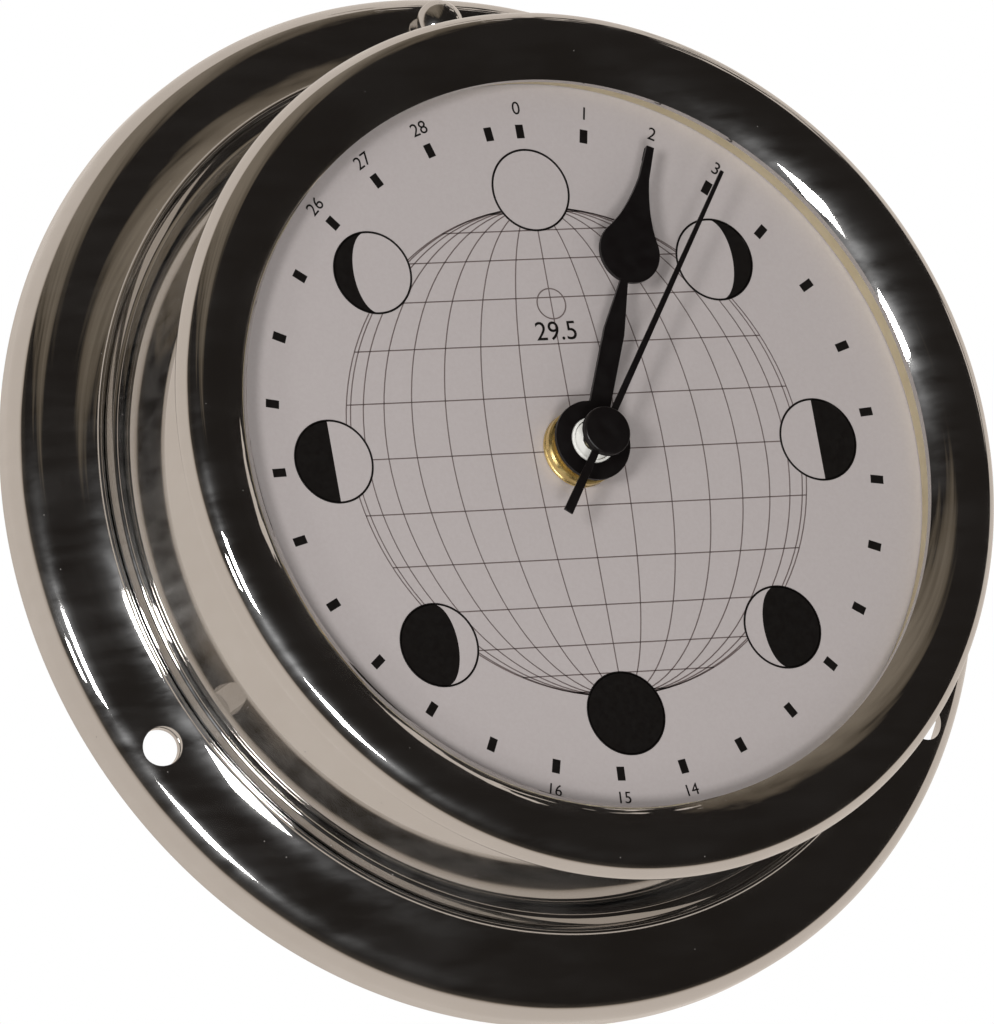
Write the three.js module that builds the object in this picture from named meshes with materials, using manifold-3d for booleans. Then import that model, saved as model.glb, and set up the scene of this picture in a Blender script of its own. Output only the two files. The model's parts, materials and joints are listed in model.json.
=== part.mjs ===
import * as THREE from 'three';
import { mergeVertices } from 'three/addons/utils/BufferGeometryUtils.js';
import Module from 'manifold-3d';

const wasm = await Module();
wasm.setup();

// A moon-month clock for a cabin wall: chromed round case on a domed mounting ring.
// Everything is drawn in millimetres on the clock's own axis: z = 0 is the wall, +z faces the
// viewer, +y is twelve o'clock. The last group turns this upright, with the front facing -Y.

const deg = Math.PI / 180;

// Clearances
const SEAT_GAP = 0.2; // between faces that rest on each other
const SLIP_GAP = 0.3; // round a part that slides in beside another
const PIVOT_GAP = 0.12; // radial play of a turning part on its post or in its hole
const OVERRUN = 1; // how far a cutting body runs past the face that it cuts
const SINK = 0.1; // how far two joined bodies run into each other

// Mounting ring: tight shoulder, low crest, flare up to a small bead, ledge, collar and seat.
// The round sizes of the case and the hands follow inwards from its radius. Angles of its arcs are
// degrees between the wall and a line square to the surface.
const RING_RADIUS = 75;
const RING_WALL = 1.4;
const RING_SHOULDER_RADIUS = 5;
const RING_SHOULDER_CENTRE_Z = 2.21;
const RING_CREST_RADIUS = 10.3;
const RING_CREST_START = 75;
const RING_FLARE_START = 84;
const RING_FLARE_RADIUS = 11;
const RING_FLARE_END = 54;
const RING_FLARE_END_INSIDE = 61;
const BEAD_RADIUS = 0.45;
const BEAD_INSET = 11.15; // from the ring's edge to the middle of the bead
const BEAD_HEIGHT = 9.35;
const LEDGE_HEIGHT = 7.9; // where the drum's rim stands over the ring
const COLLAR_WALL = 1.15;
const SEAT_LIP_HEIGHT = 0.9;
const SEAT_LIP_WALL = 1.2;
const MOUNT_HOLE_RADIUS = 2.7;
const MOUNT_HOLE_INSET = 5.7; // from the ring's edge to the middle of a hole
const MOUNT_HOLE_COUNT = 3;
const RING_TURN = 1.2; // the ring sits this many degrees clockwise of the dial

// Case drum: foot in the collar, rim over its ledge, hollow neck that ends in a straight taper
const FOOT_INSET = 13.7; // from the ring's edge to the foot
const FOOT_WIDTH = 6.8;
const DRUM_WALL = 1.2;
const RIM_OVERHANG = 1.75; // from the foot out to the rim's edge
const RIM_HEIGHT = 9.5;
const FILLET_RADIUS = 1.6;
const FILLET_START = 80;
const COVE_RADIUS = 44;
const COVE_CENTRE_OUTSET = 28.3; // from the ring's edge out to the middle of the neck's arc
const COVE_CENTRE_Z = 24.2;
const COVE_START = 18;
const TAPER = 8.7; // degrees off the clock's axis
const DIAL_SEAT_INSET = 25; // from the ring's edge to the bore under the dial

// Bezel: rear flange on the drum, tight outer edge, broad inner slope
const BEZEL_WALL = 1.2;
const BEZEL_EDGE_RADIUS = 3.7;
const BEZEL_EDGE_INSET = 15.9; // from the ring's edge to the middle of the rounded edge
const BEZEL_EDGE_ABOVE_DIAL = 3.4;
const BEZEL_SLOPE_RADIUS = 9.8;
const BEZEL_LIP_INSET = 22.3; // from the ring's edge to the lip

// Dial and the ring that presses it down
const DIAL_FACE = 28.9;
const DIAL_THICKNESS = 0.8;
const DIAL_MARGIN = 2.7; // from the lip out to the dial's edge
const SPACER_LEDGE = 0.9; // from the lip out to the spacer's bore
const SPACER_WALL = 1.6;

// Screws
const CASE_SCREW_ANGLES = [60, 180, 300];
const CASE_SCREW_INSET = 2.9; // from the foot's bore out to the middle of a screw
const CASE_SCREW_RADIUS = 1.2;
const CASE_SCREW_END = 0.4; // how far the screw stands out of its nut
const CASE_SCREW_HEAD_RADIUS = 2.2;
const CASE_SCREW_HEAD_HEIGHT = 0.6;
const CASE_NUT_RADIUS = 1.85;
const CASE_NUT_HEIGHT = 1.8;
const KNOB_SCREW_HEAD_RADIUS = 3.5;
const KNOB_SCREW_EDGE = 0.8;
const KNOB_SCREW_DOME = 2.3;
const KNOB_SCREW_SHANK = 2.1;

// AA cell, which sets the width and depth of the movement housing
const CELL_RADIUS = 7.1;
const CELL_LENGTH = 49.2;
const CELL_NUB_RADIUS = 2.7;
const CELL_NUB_LENGTH = 1.2;
const CONTACT_THICKNESS = 0.35;
const CONTACT_WIDTH = 9;
const CONTACT_ROOM = 1.6; // from the end of the cell to the wall
const CONTACT_INSET = 0.65; // from the wall to the middle of a contact

// Movement housing
const HOUSING_WALL = 1.2;
const DIAL_WASHER_THICKNESS = 0.8;
const DIAL_WASHER_RADIUS = 14;
const BRIDGE_THICKNESS = 0.5;
const POST_RADIUS = 1.5;
const POST_WALL_ROOM = 0.5;
const BEARING_RADIUS = 1.3;
const BEARING_PLAY = 0.45; // between a bearing and the wheel over it
const PIVOT_DEPTH = 0.6;

// Centre stack
const EDGE_CHAMFER = 0.3;
const BUSH_RADIUS = 3.95;
const BUSH_BORE = 3;
const BUSH_FLANGE = 5.5;
const BUSH_FLANGE_THICKNESS = 0.5;
const BUSH_ABOVE_DIAL = 2.4;
const NUT_RADIUS = 5.45;
const NUT_HEIGHT = 2;
const MOON_PIPE_RADIUS = 2.8;
const MOON_PIPE_BORE = 1.6;
const COLLET_RADIUS = 3.25;
const COLLET_FLANGE = 4.4;
const COLLET_FLANGE_THICKNESS = 0.7;
const COLLET_ABOVE_HAND = 0.2;

// Moon hand: hub, tapering shaft, spade and point
const MOON_HAND_ABOVE_DIAL = 4.3;
const MOON_HAND_THICKNESS = 0.6;
const MOON_HAND_ANGLE = 22.4;
const MOON_HAND_HUB = 5.7;
const MOON_TIP_ROOM = 7; // from the hand's tip to the bezel's lip
const SHAFT_WIDTH = 3.1;
const SHAFT_TAPER_LENGTH = 7.9;
const SPADE_TO_TIP = 16.4;
const SPADE_RADIUS = 4.6;
const SPADE_WAIST = 1.12;
const SPADE_SHOULDER = 35; // degrees round the spade at which the sides turn hollow
const SPADE_HOLLOW_WIDTH = 3.2;
const SPADE_HOLLOW_RISE = 6;
const POINT_ROOT_WIDTH = 1.5;
const POINT_LENGTH = 4.9;
const POINT_WIDTH = 1.1;

// Seconds hand
const SECONDS_HAND_ABOVE_DIAL = 8;
const SECONDS_HAND_THICKNESS = 0.35;
const SECONDS_HAND_ANGLE = 35;
const SECONDS_TIP_ROOM = 7.2;
const SECONDS_TAIL_LENGTH = 13.5;
const SECONDS_TAIL_WIDTH = 1.4;
const SECONDS_MIDDLE_WIDTH = 1;
const SECONDS_TIP_WIDTH = 0.56;
const SECONDS_SOCKET_RADIUS = 1.05;
const SECONDS_SOCKET_LENGTH = 2.2;
const SECONDS_CAP_RADIUS = 3.5;
const SECONDS_CAP_HEIGHT = 1.2;
const CAP_LOWER_CHAMFER = 0.2;
const CAP_UPPER_CHAMFER = 0.4;

// Gear train: teeth, module, and each level's height above the housing's floor
const WHEEL_THICKNESS = 0.7;
const TOOTH_RISE = 0.75; // modules above the pitch circle
const TOOTH_DEPTH = 1.1; // modules below it
const TOOTH_TIP_HALF = 0.09; // half a tooth's width at its tip, as a share of the pitch
const TOOTH_ROOT_HALF = 0.2;
const ARBOR_RADIUS = 0.5;
const SETTING_SHAFT_RADIUS = 0.8;
const HUB_WALL = 0.3;
const ROTOR_LEAVES = 8;
const INTERMEDIATE_TEETH = 40;
const INTERMEDIATE_LEAVES = 8;
const SECONDS_TEETH = 48;
const SECONDS_LEAVES = 8;
const THIRD_TEETH = 60;
const THIRD_LEAVES = 8;
const CENTRE_TEETH = 64;
const CENTRE_LEAVES = 10;
const FIRST_MOON_TEETH = 40;
const FIRST_MOON_LEAVES = 8;
const SECOND_MOON_TEETH = 42;
const SECOND_MOON_LEAVES = 8;
const CLUTCH_TEETH = 54;
const CLUTCH_LEAVES = 8;
const MOON_TEETH = 40;
const SETTING_LEAVES = 8;
const ROTOR_MODULE = 0.34;
const SECONDS_MODULE = 0.36;
const THIRD_MODULE = 0.28;
const FIRST_MOON_MODULE = 0.3;
const SECOND_MOON_MODULE = 0.28;
const MOON_MODULE = 0.44;
const INTERMEDIATE_BEARING = 125; // degrees from three o'clock to the next axis of the train
const ROTOR_BEARING = 160;
const THIRD_BEARING = 20;
const FIRST_MOON_BEARING = 80;
const SECOND_MOON_BEARING = 60;
const SETTING_BEARING = 200;
const ROTOR_RISE = 1.5;
const SECONDS_RISE = 3.3;
const STATOR_RISE = 4.5;
const THIRD_RISE = 5.1;
const CENTRE_RISE = 6.9;
const BRIDGE_RISE = 8;
const HOUSING_JOINT_RISE = 8.4;
const FIRST_MOON_RISE = 8.8;
const SECOND_MOON_RISE = 10.3;
const CLUTCH_RISE = 11.7;
const MOON_RISE = 12.9;
const POST_ABOVE_WHEEL = 0.3;
const SETTING_KNOB_RADIUS = 5;
const SETTING_KNOB_HEIGHT = 2.4;
const KNOB_GROOVES = 12;
const KNOB_GROOVE_RADIUS = 0.6;

// Motor
const MAGNET_RADIUS = 2.2;
const MAGNET_HEIGHT = 2;
const MAGNET_ROOM = 0.5;
const STATOR_THICKNESS = 0.8;
const STATOR_ARM = 2;
const STATOR_WEB = 0.7;
const CORE_WIDTH = 2;
const COIL_RADIUS = 2.8;
const COIL_LENGTH = 22;
const COIL_WALL_ROOM = 1.6;
const COIL_MIDDLE_Y = 6.5;
const BOBBIN_WALL = 0.35;
const BOBBIN_CHEEK = 0.8;
const BOBBIN_CHEEK_RISE = 0.6;

// Circuit board, measured from the corner beside twelve and three o'clock
const BOARD_LENGTH = 21.5;
const BOARD_WIDTH = 12.5;
const BOARD_THICKNESS = 0.8;
const BOARD_ROOM = 0.3;
const CHIP_RADIUS = 2.5;
const CHIP_HEIGHT = 0.9;
const CHIP_INSET = [15.5, 6.5];
const CRYSTAL_RADIUS = 1;
const CRYSTAL_LENGTH = 6;
const CRYSTAL_INSET = [9, 9.5];

// Sides of round forms
const RING_SIDES = 48;
const NUT_SIDES = 36;
const CAP_SIDES = 32;
const ROUND_SIDES = 24;
const SMALL_SIDES = 16;
const PIN_SIDES = 12;

// Finishes
const finishes = {
  chrome: { color: 0xc9c7c2, roughness: 0.06, metalness: 1 },
  brass: { color: 0xc9a24a, roughness: 0.3, metalness: 1 },
  spacer: { color: 0xcfc39c, roughness: 0.25, metalness: 1 },
  dial: { color: 0xd9d3d2, roughness: 0.7, metalness: 0 },
  hand: { color: 0x0d0c0b, roughness: 0.35, metalness: 0 },
  whitePlastic: { color: 0xe4e2dc, roughness: 0.45, metalness: 0 },
  blackPlastic: { color: 0x1b1b1d, roughness: 0.5, metalness: 0 },
  gearPlastic: { color: 0xd8cfae, roughness: 0.5, metalness: 0 },
  rubber: { color: 0x222222, roughness: 0.9, metalness: 0 },
  steel: { color: 0x8f9296, roughness: 0.35, metalness: 1 },
  copper: { color: 0xb0602e, roughness: 0.4, metalness: 1 },
  board: { color: 0x2f6b3a, roughness: 0.6, metalness: 0 },
  cell: { color: 0x3c4652, roughness: 0.4, metalness: 0.2 },
};

// Solids

function signedVolume(position, index) {
  const [a, b, c] = [new THREE.Vector3(), new THREE.Vector3(), new THREE.Vector3()];
  let sum = 0;
  for (let i = 0; i < index.length; i += 3) {
    a.fromArray(position, index[i] * 3);
    b.fromArray(position, index[i + 1] * 3);
    c.fromArray(position, index[i + 2] * 3);
    sum += a.dot(b.cross(c));
  }
  return sum;
}

function solid(geometry) {
  geometry.deleteAttribute('normal');
  geometry.deleteAttribute('uv');
  const merged = mergeVertices(geometry, 1e-4);
  const position = merged.attributes.position.array;
  const index = Array.from(merged.index.array);
  if (signedVolume(position, index) < 0) index.reverse();
  return new wasm.Manifold(
    new wasm.Mesh({ numProp: 3, vertProperties: position, triVerts: new Uint32Array(index) }),
  );
}

const join = (first, ...rest) => rest.reduce((sum, next) => sum.add(next), first);
const cut = (first, ...rest) => rest.reduce((left, next) => left.subtract(next), first);

// A body of revolution about z from a closed outline of [radius, z] points
function turned(outline, sides = ROUND_SIDES) {
  const points = [...outline, outline[0]].map(([r, z]) => new THREE.Vector2(r, z));
  return solid(new THREE.LatheGeometry(points, sides).rotateX(Math.PI / 2));
}

// A closed tube or ring; a bore of 0 gives a plain disc
function disc(radius, bottom, top, { bore = 0, x = 0, y = 0, sides = ROUND_SIDES } = {}) {
  const shape = new THREE.Shape().absarc(0, 0, radius, 0, 2 * Math.PI);
  if (bore > 0) shape.holes.push(new THREE.Path().absarc(0, 0, bore, 0, 2 * Math.PI, true));
  return extruded(shape, bottom, top, sides / 2).translate([x, y, 0]);
}

function extruded(shape, bottom, top, curveSegments = 12) {
  const options = { depth: top - bottom, bevelEnabled: false, curveSegments };
  return solid(new THREE.ExtrudeGeometry(shape, options).translate(0, 0, bottom));
}

function polygon(points, bottom, top) {
  return extruded(new THREE.Shape(points.map(([x, y]) => new THREE.Vector2(x, y))), bottom, top);
}

function block([x0, y0, z0], [x1, y1, z1]) {
  return polygon([[x0, y0], [x1, y0], [x1, y1], [x0, y1]], z0, z1);
}

function arc(centre, radius, from, to, steps) {
  return Array.from({ length: steps + 1 }, (_, i) => {
    const angle = (from + ((to - from) * i) / steps) * deg;
    return [centre[0] + radius * Math.cos(angle), centre[1] + radius * Math.sin(angle)];
  });
}

// Clock angle, clockwise from twelve, to x and y
function clockPoint(radius, angle) {
  return [radius * Math.sin(angle * deg), radius * Math.cos(angle * deg)];
}

const pieces = [];

function piece(name, body, finish, place = [0, 0]) {
  const { numProp, vertProperties, triVerts } = body.getMesh();
  if (numProp !== 3) throw new Error(`${name} carries more than positions`);
  const geometry = new THREE.BufferGeometry();
  geometry.setAttribute('position', new THREE.Float32BufferAttribute(vertProperties, 3));
  geometry.setIndex(Array.from(triVerts));
  geometry.computeVertexNormals();
  const mesh = new THREE.Mesh(geometry, new THREE.MeshStandardMaterial(finishes[finish]));
  mesh.name = name;
  mesh.position.set(place[0], place[1], 0);
  pieces.push(mesh);
  return mesh;
}

// Gears: straight-flanked teeth, thin enough to run free of each other

const pitchRadius = (teeth, module) => (teeth * module) / 2;
const meshDistance = (a, b, module) => pitchRadius(a + b, module);

function gear(teeth, module, level, toothAngle, bore = 0) {
  const pitch = (2 * Math.PI) / teeth;
  const tip = pitchRadius(teeth, module) + TOOTH_RISE * module;
  const root = pitchRadius(teeth, module) - TOOTH_DEPTH * module;
  const tooth = [
    [root, -TOOTH_ROOT_HALF],
    [tip, -TOOTH_TIP_HALF],
    [tip, TOOTH_TIP_HALF],
    [root, TOOTH_ROOT_HALF],
  ];
  const outline = [];
  for (let i = 0; i < teeth; i += 1) {
    const middle = toothAngle * deg + i * pitch;
    for (const [radius, share] of tooth) {
      const angle = middle + share * pitch;
      outline.push(new THREE.Vector2(radius * Math.cos(angle), radius * Math.sin(angle)));
    }
  }
  const shape = new THREE.Shape(outline);
  if (bore > 0) shape.holes.push(new THREE.Path().absarc(0, 0, bore, 0, 2 * Math.PI, true));
  return extruded(shape, level, level + WHEEL_THICKNESS, 6);
}

// The angle of a tooth gap that faces a neighbour's tooth
const gapAngle = (towards, teeth) => towards + 180 / teeth;

function polar(from, distance, angle) {
  return [from[0] + distance * Math.cos(angle * deg), from[1] + distance * Math.sin(angle * deg)];
}

function direction(from, to) {
  return Math.atan2(to[1] - from[1], to[0] - from[0]) / deg;
}

// Radii and heights of the case, from the mounting ring inwards

const lipRadius = RING_RADIUS - BEZEL_LIP_INSET;
const footRadius = RING_RADIUS - FOOT_INSET;
const footBore = footRadius - FOOT_WIDTH;
const seatTop = SEAT_LIP_HEIGHT + SEAT_LIP_WALL;
const footBottom = seatTop + SEAT_GAP;
const footTop = footBottom + DRUM_WALL;
const dialBack = DIAL_FACE - DIAL_THICKNESS;
const dialSeat = dialBack - SEAT_GAP;
const screwHoleRadius = CASE_SCREW_RADIUS + PIVOT_GAP;
const caseScrewPlaces = CASE_SCREW_ANGLES.map((angle) =>
  clockPoint(footBore + CASE_SCREW_INSET, angle));

// Holes for the case screws, to be cut from the wall up to one height
function caseScrewHoles(top) {
  return caseScrewPlaces.map(([x, y]) => disc(screwHoleRadius, 0, top, { x, y, sides: PIN_SIDES }));
}

// Mounting ring

// Centre of the arc that carries on from another one at an angle; a negative radius bends back
function onward(centre, radius, nextRadius, angle) {
  return polar(centre, radius - nextRadius, angle);
}

const shoulderCentre = [RING_RADIUS - RING_SHOULDER_RADIUS, RING_SHOULDER_CENTRE_Z];
const crestCentre = onward(
  shoulderCentre, RING_SHOULDER_RADIUS, RING_CREST_RADIUS, RING_CREST_START);
const flareCentre = onward(crestCentre, RING_CREST_RADIUS, -RING_FLARE_RADIUS, RING_FLARE_START);
const collarBore = footRadius + SLIP_GAP;
const collarRadius = collarBore + COLLAR_WALL;
const beadCentre = [RING_RADIUS - BEAD_INSET, BEAD_HEIGHT];
const mountHoleCircle = RING_RADIUS - MOUNT_HOLE_INSET;
const mountHolePlaces = Array.from({ length: MOUNT_HOLE_COUNT }, (_, i) =>
  clockPoint(mountHoleCircle, RING_TURN + (i * 360) / MOUNT_HOLE_COUNT));

// Height of the ring's flare at a radius
function ringHeight(radius) {
  return flareCentre[1] - Math.sqrt(RING_FLARE_RADIUS ** 2 - (radius - flareCentre[0]) ** 2);
}

function mountingRing() {
  const flare = [180 + RING_FLARE_START, 180 + RING_FLARE_END];
  const flareInside = [180 + RING_FLARE_END_INSIDE, 180 + RING_FLARE_START];
  const shoulderInside = RING_SHOULDER_RADIUS - RING_WALL;
  const shell = turned([
    [RING_RADIUS, 0],
    ...arc(shoulderCentre, RING_SHOULDER_RADIUS, 0, RING_CREST_START, 5),
    ...arc(flareCentre, RING_FLARE_RADIUS, ...flare, 4),
    ...arc(beadCentre, BEAD_RADIUS, 0, 180, 3),
    [beadCentre[0] - BEAD_RADIUS, LEDGE_HEIGHT],
    [collarBore, LEDGE_HEIGHT],
    [collarBore, seatTop],
    [footBore, seatTop],
    [footBore, SEAT_LIP_HEIGHT],
    [collarRadius, SEAT_LIP_HEIGHT],
    [collarRadius, LEDGE_HEIGHT - COLLAR_WALL],
    ...arc(flareCentre, RING_FLARE_RADIUS + RING_WALL, ...flareInside, 3),
    ...arc(shoulderCentre, shoulderInside, RING_CREST_START, 0, 3),
    [RING_RADIUS - RING_WALL, 0],
  ], RING_SIDES);
  const holes = mountHolePlaces.map(([x, y]) =>
    disc(MOUNT_HOLE_RADIUS, 0, BEAD_HEIGHT + OVERRUN, { x, y }));
  return cut(shell, ...holes, ...caseScrewHoles(seatTop + OVERRUN));
}

// Case drum

const coveCentre = [RING_RADIUS + COVE_CENTRE_OUTSET, COVE_CENTRE_Z];
const filletCentre = onward(coveCentre, COVE_RADIUS, FILLET_RADIUS, 180 + COVE_START);

// Radius of the neck's straight taper at a height, or that of its inner side
function taperRadius(height, wall = 0) {
  const onArc = polar(coveCentre, COVE_RADIUS + wall, 180 + TAPER);
  return onArc[0] - (height - onArc[1]) * Math.tan(TAPER * deg);
}

function caseDrum() {
  const rimRadius = footRadius + RIM_OVERHANG;
  const rimBottom = LEDGE_HEIGHT + SEAT_GAP;
  const seatBore = RING_RADIUS - DIAL_SEAT_INSET;
  const seatBottom = dialSeat - DRUM_WALL;
  const inside = footRadius - DRUM_WALL;
  const insideStart = Math.acos((coveCentre[0] - inside) / (COVE_RADIUS + DRUM_WALL)) / deg;
  const shell = turned([
    [footBore, footBottom],
    [footRadius, footBottom],
    [footRadius, rimBottom],
    [rimRadius, rimBottom],
    [rimRadius, RIM_HEIGHT],
    ...arc(filletCentre, FILLET_RADIUS, 180 + FILLET_START, 180 + COVE_START, 3),
    ...arc(coveCentre, COVE_RADIUS, 180 + COVE_START, 180 + TAPER, 3).slice(1),
    [taperRadius(dialSeat), dialSeat],
    [seatBore, dialSeat],
    [seatBore, seatBottom],
    [taperRadius(seatBottom, DRUM_WALL), seatBottom],
    ...arc(coveCentre, COVE_RADIUS + DRUM_WALL, 180 + TAPER, 180 + insideStart, 2),
    [inside, footTop],
    [footBore, footTop],
  ], RING_SIDES);
  return cut(shell, ...caseScrewHoles(footTop + OVERRUN));
}

// Bezel

const bezelBore = lipRadius + DIAL_MARGIN + SLIP_GAP;
const edgeCentre = [RING_RADIUS - BEZEL_EDGE_INSET, DIAL_FACE + BEZEL_EDGE_ABOVE_DIAL];
const crest = edgeCentre[1] + BEZEL_EDGE_RADIUS;
const slopeCentre = [edgeCentre[0], crest - BEZEL_SLOPE_RADIUS];
const slopeSweep = Math.asin((edgeCentre[0] - lipRadius) / BEZEL_SLOPE_RADIUS) / deg;
const lipTop = slopeCentre[1] + BEZEL_SLOPE_RADIUS * Math.cos(slopeSweep * deg);

function bezelRing() {
  const rear = dialSeat + SEAT_GAP;
  const slopeInside = BEZEL_SLOPE_RADIUS - BEZEL_WALL;
  const edgeInside = BEZEL_EDGE_RADIUS - BEZEL_WALL;
  return turned([
    [bezelBore, rear],
    [edgeCentre[0], rear],
    ...arc(edgeCentre, BEZEL_EDGE_RADIUS, -90, 90, 8),
    ...arc(slopeCentre, BEZEL_SLOPE_RADIUS, 90, 90 + slopeSweep, 4).slice(1),
    [lipRadius, lipTop - BEZEL_WALL],
    ...arc(slopeCentre, slopeInside, 90 + slopeSweep * 0.8, 90, 2),
    ...arc(edgeCentre, edgeInside, 45, -90, 3),
    [bezelBore, edgeCentre[1] - edgeInside],
  ], RING_SIDES);
}

function spacerRing() {
  const bore = lipRadius + SPACER_LEDGE;
  const bottom = DIAL_FACE + SEAT_GAP;
  const top = lipTop - BEZEL_WALL - SEAT_GAP;
  return turned([
    [bore, bottom],
    [bore + SPACER_WALL, bottom],
    [bore + SPACER_WALL, top],
    [bore, top],
  ], RING_SIDES);
}

function dialPlate() {
  return disc(lipRadius + DIAL_MARGIN, dialBack, DIAL_FACE,
    { bore: BUSH_RADIUS + PIVOT_GAP, sides: RING_SIDES });
}

// Screws

function caseScrew() {
  const headTop = SEAT_LIP_HEIGHT - SEAT_GAP;
  const end = footTop + SEAT_GAP + CASE_NUT_HEIGHT + CASE_SCREW_END;
  return join(
    disc(CASE_SCREW_HEAD_RADIUS, headTop - CASE_SCREW_HEAD_HEIGHT, headTop, { sides: SMALL_SIDES }),
    disc(CASE_SCREW_RADIUS, headTop - SINK, end, { sides: PIN_SIDES }),
  );
}

function caseNut() {
  const bottom = footTop + SEAT_GAP;
  const top = bottom + CASE_NUT_HEIGHT;
  return cut(
    disc(CASE_NUT_RADIUS, bottom, top, { sides: 6 }),
    disc(screwHoleRadius, bottom - OVERRUN, top + OVERRUN, { sides: PIN_SIDES }),
  );
}

function topScrew() {
  const seat = ringHeight(mountHoleCircle - KNOB_SCREW_HEAD_RADIUS) + SEAT_GAP;
  const domeRadius = (KNOB_SCREW_HEAD_RADIUS ** 2 + KNOB_SCREW_DOME ** 2) / (2 * KNOB_SCREW_DOME);
  const centre = [0, seat + KNOB_SCREW_EDGE + KNOB_SCREW_DOME - domeRadius];
  const rimAngle = Math.acos(KNOB_SCREW_HEAD_RADIUS / domeRadius) / deg;
  return turned([
    [0, SEAT_GAP],
    [KNOB_SCREW_SHANK, SEAT_GAP],
    [KNOB_SCREW_SHANK, seat],
    [KNOB_SCREW_HEAD_RADIUS, seat],
    ...arc(centre, domeRadius, rimAngle, 90, 5),
  ]);
}

// Movement housing: its inside is set by the cell that lies across it

const housingDepth = 2 * (CELL_RADIUS + HOUSING_WALL + SEAT_GAP);
const housingFront = dialBack - SEAT_GAP - DIAL_WASHER_THICKNESS - SEAT_GAP;
const housingRear = housingFront - housingDepth;
const housingFloor = housingRear + HOUSING_WALL;
const housingCeiling = housingFront - HOUSING_WALL;
const innerHalf = (CELL_LENGTH + CELL_NUB_LENGTH) / 2 + CONTACT_ROOM;
const housingHalf = innerHalf + HOUSING_WALL;
const cellY = -innerHalf + CELL_RADIUS + SLIP_GAP;
const cellZ = housingRear + housingDepth / 2 - SEAT_GAP;
const partitionTop = cellY + CELL_RADIUS + SLIP_GAP + HOUSING_WALL;
const jointLevel = housingFloor + HOUSING_JOINT_RISE;
const bridgeLevel = housingFloor + BRIDGE_RISE;
const rotorLevel = housingFloor + ROTOR_RISE;
const secondsLevel = housingFloor + SECONDS_RISE;
const statorLevel = housingFloor + STATOR_RISE;
const thirdLevel = housingFloor + THIRD_RISE;
const centreLevel = housingFloor + CENTRE_RISE;
const firstMoonLevel = housingFloor + FIRST_MOON_RISE;
const secondMoonLevel = housingFloor + SECOND_MOON_RISE;
const clutchLevel = housingFloor + CLUTCH_RISE;
const moonLevel = housingFloor + MOON_RISE;
const pinBore = ARBOR_RADIUS + PIVOT_GAP;
const postInset = POST_RADIUS + POST_WALL_ROOM;
const cornerPosts = [
  [-innerHalf + postInset, innerHalf - postInset],
  [innerHalf - postInset, innerHalf - postInset],
  [-innerHalf + postInset, partitionTop + postInset],
  [innerHalf - postInset, partitionTop + postInset],
];

function square(half, bottom, top) {
  return block([-half, -half, bottom], [half, half, top]);
}

// The same round pin at several places
function pins(at, radius, bottom, top) {
  return at.map(([x, y]) => disc(radius, bottom, top, { x, y, sides: PIN_SIDES }));
}

function movementRear() {
  const shell = cut(
    square(housingHalf, housingRear, jointLevel - SEAT_GAP / 2),
    square(innerHalf, housingFloor, jointLevel + OVERRUN),
  );
  const partition = block(
    [-innerHalf - SINK, partitionTop - HOUSING_WALL, housingRear + SINK],
    [innerHalf + SINK, partitionTop, bridgeLevel - SEAT_GAP],
  );
  const cellDoor = block(
    [-innerHalf, -innerHalf, housingRear - OVERRUN],
    [innerHalf, partitionTop - HOUSING_WALL, housingFloor + OVERRUN],
  );
  const axes = [places.centre, places.intermediate, places.rotor, places.third];
  const posts = pins(cornerPosts, POST_RADIUS, housingFloor - SINK, bridgeLevel - SEAT_GAP);
  const bearings = pins(axes, BEARING_RADIUS, housingFloor - SINK, rotorLevel - BEARING_PLAY);
  const pivots = pins(axes, pinBore, housingFloor - PIVOT_DEPTH, rotorLevel);
  const knobHole = pins([places.setting], SETTING_SHAFT_RADIUS + PIVOT_GAP,
    housingRear - OVERRUN, housingFloor + OVERRUN);
  const body = join(cut(join(shell, partition), cellDoor), ...posts, ...bearings);
  return cut(body, ...pivots, ...knobHole);
}

function movementFront() {
  const shell = cut(
    square(housingHalf, jointLevel + SEAT_GAP / 2, housingFront),
    square(innerHalf, jointLevel - OVERRUN, housingCeiling),
  );
  const postBottom = bridgeLevel + BRIDGE_THICKNESS + SEAT_GAP;
  const posts = pins(cornerPosts, POST_RADIUS, postBottom, housingCeiling + SINK);
  const hole = disc(BUSH_RADIUS + PIVOT_GAP, housingCeiling - OVERRUN, housingFront + OVERRUN);
  return cut(join(shell, ...posts), hole);
}

// Axes of the train, seen from the front

const places = { centre: [0, 0] };
places.intermediate = polar(places.centre,
  meshDistance(SECONDS_TEETH, INTERMEDIATE_LEAVES, SECONDS_MODULE), INTERMEDIATE_BEARING);
places.rotor = polar(places.intermediate,
  meshDistance(INTERMEDIATE_TEETH, ROTOR_LEAVES, ROTOR_MODULE), ROTOR_BEARING);
places.third = polar(places.centre,
  meshDistance(THIRD_TEETH, SECONDS_LEAVES, THIRD_MODULE), THIRD_BEARING);
places.firstMoon = polar(places.centre,
  meshDistance(CENTRE_LEAVES, FIRST_MOON_TEETH, FIRST_MOON_MODULE), FIRST_MOON_BEARING);
places.secondMoon = polar(places.firstMoon,
  meshDistance(FIRST_MOON_LEAVES, SECOND_MOON_TEETH, SECOND_MOON_MODULE), SECOND_MOON_BEARING);
places.clutch = crossing(places.secondMoon,
  meshDistance(SECOND_MOON_LEAVES, CLUTCH_TEETH, SECOND_MOON_MODULE),
  meshDistance(CLUTCH_LEAVES, MOON_TEETH, MOON_MODULE));
places.setting = polar(places.centre,
  meshDistance(SETTING_LEAVES, MOON_TEETH, MOON_MODULE), SETTING_BEARING);

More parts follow.
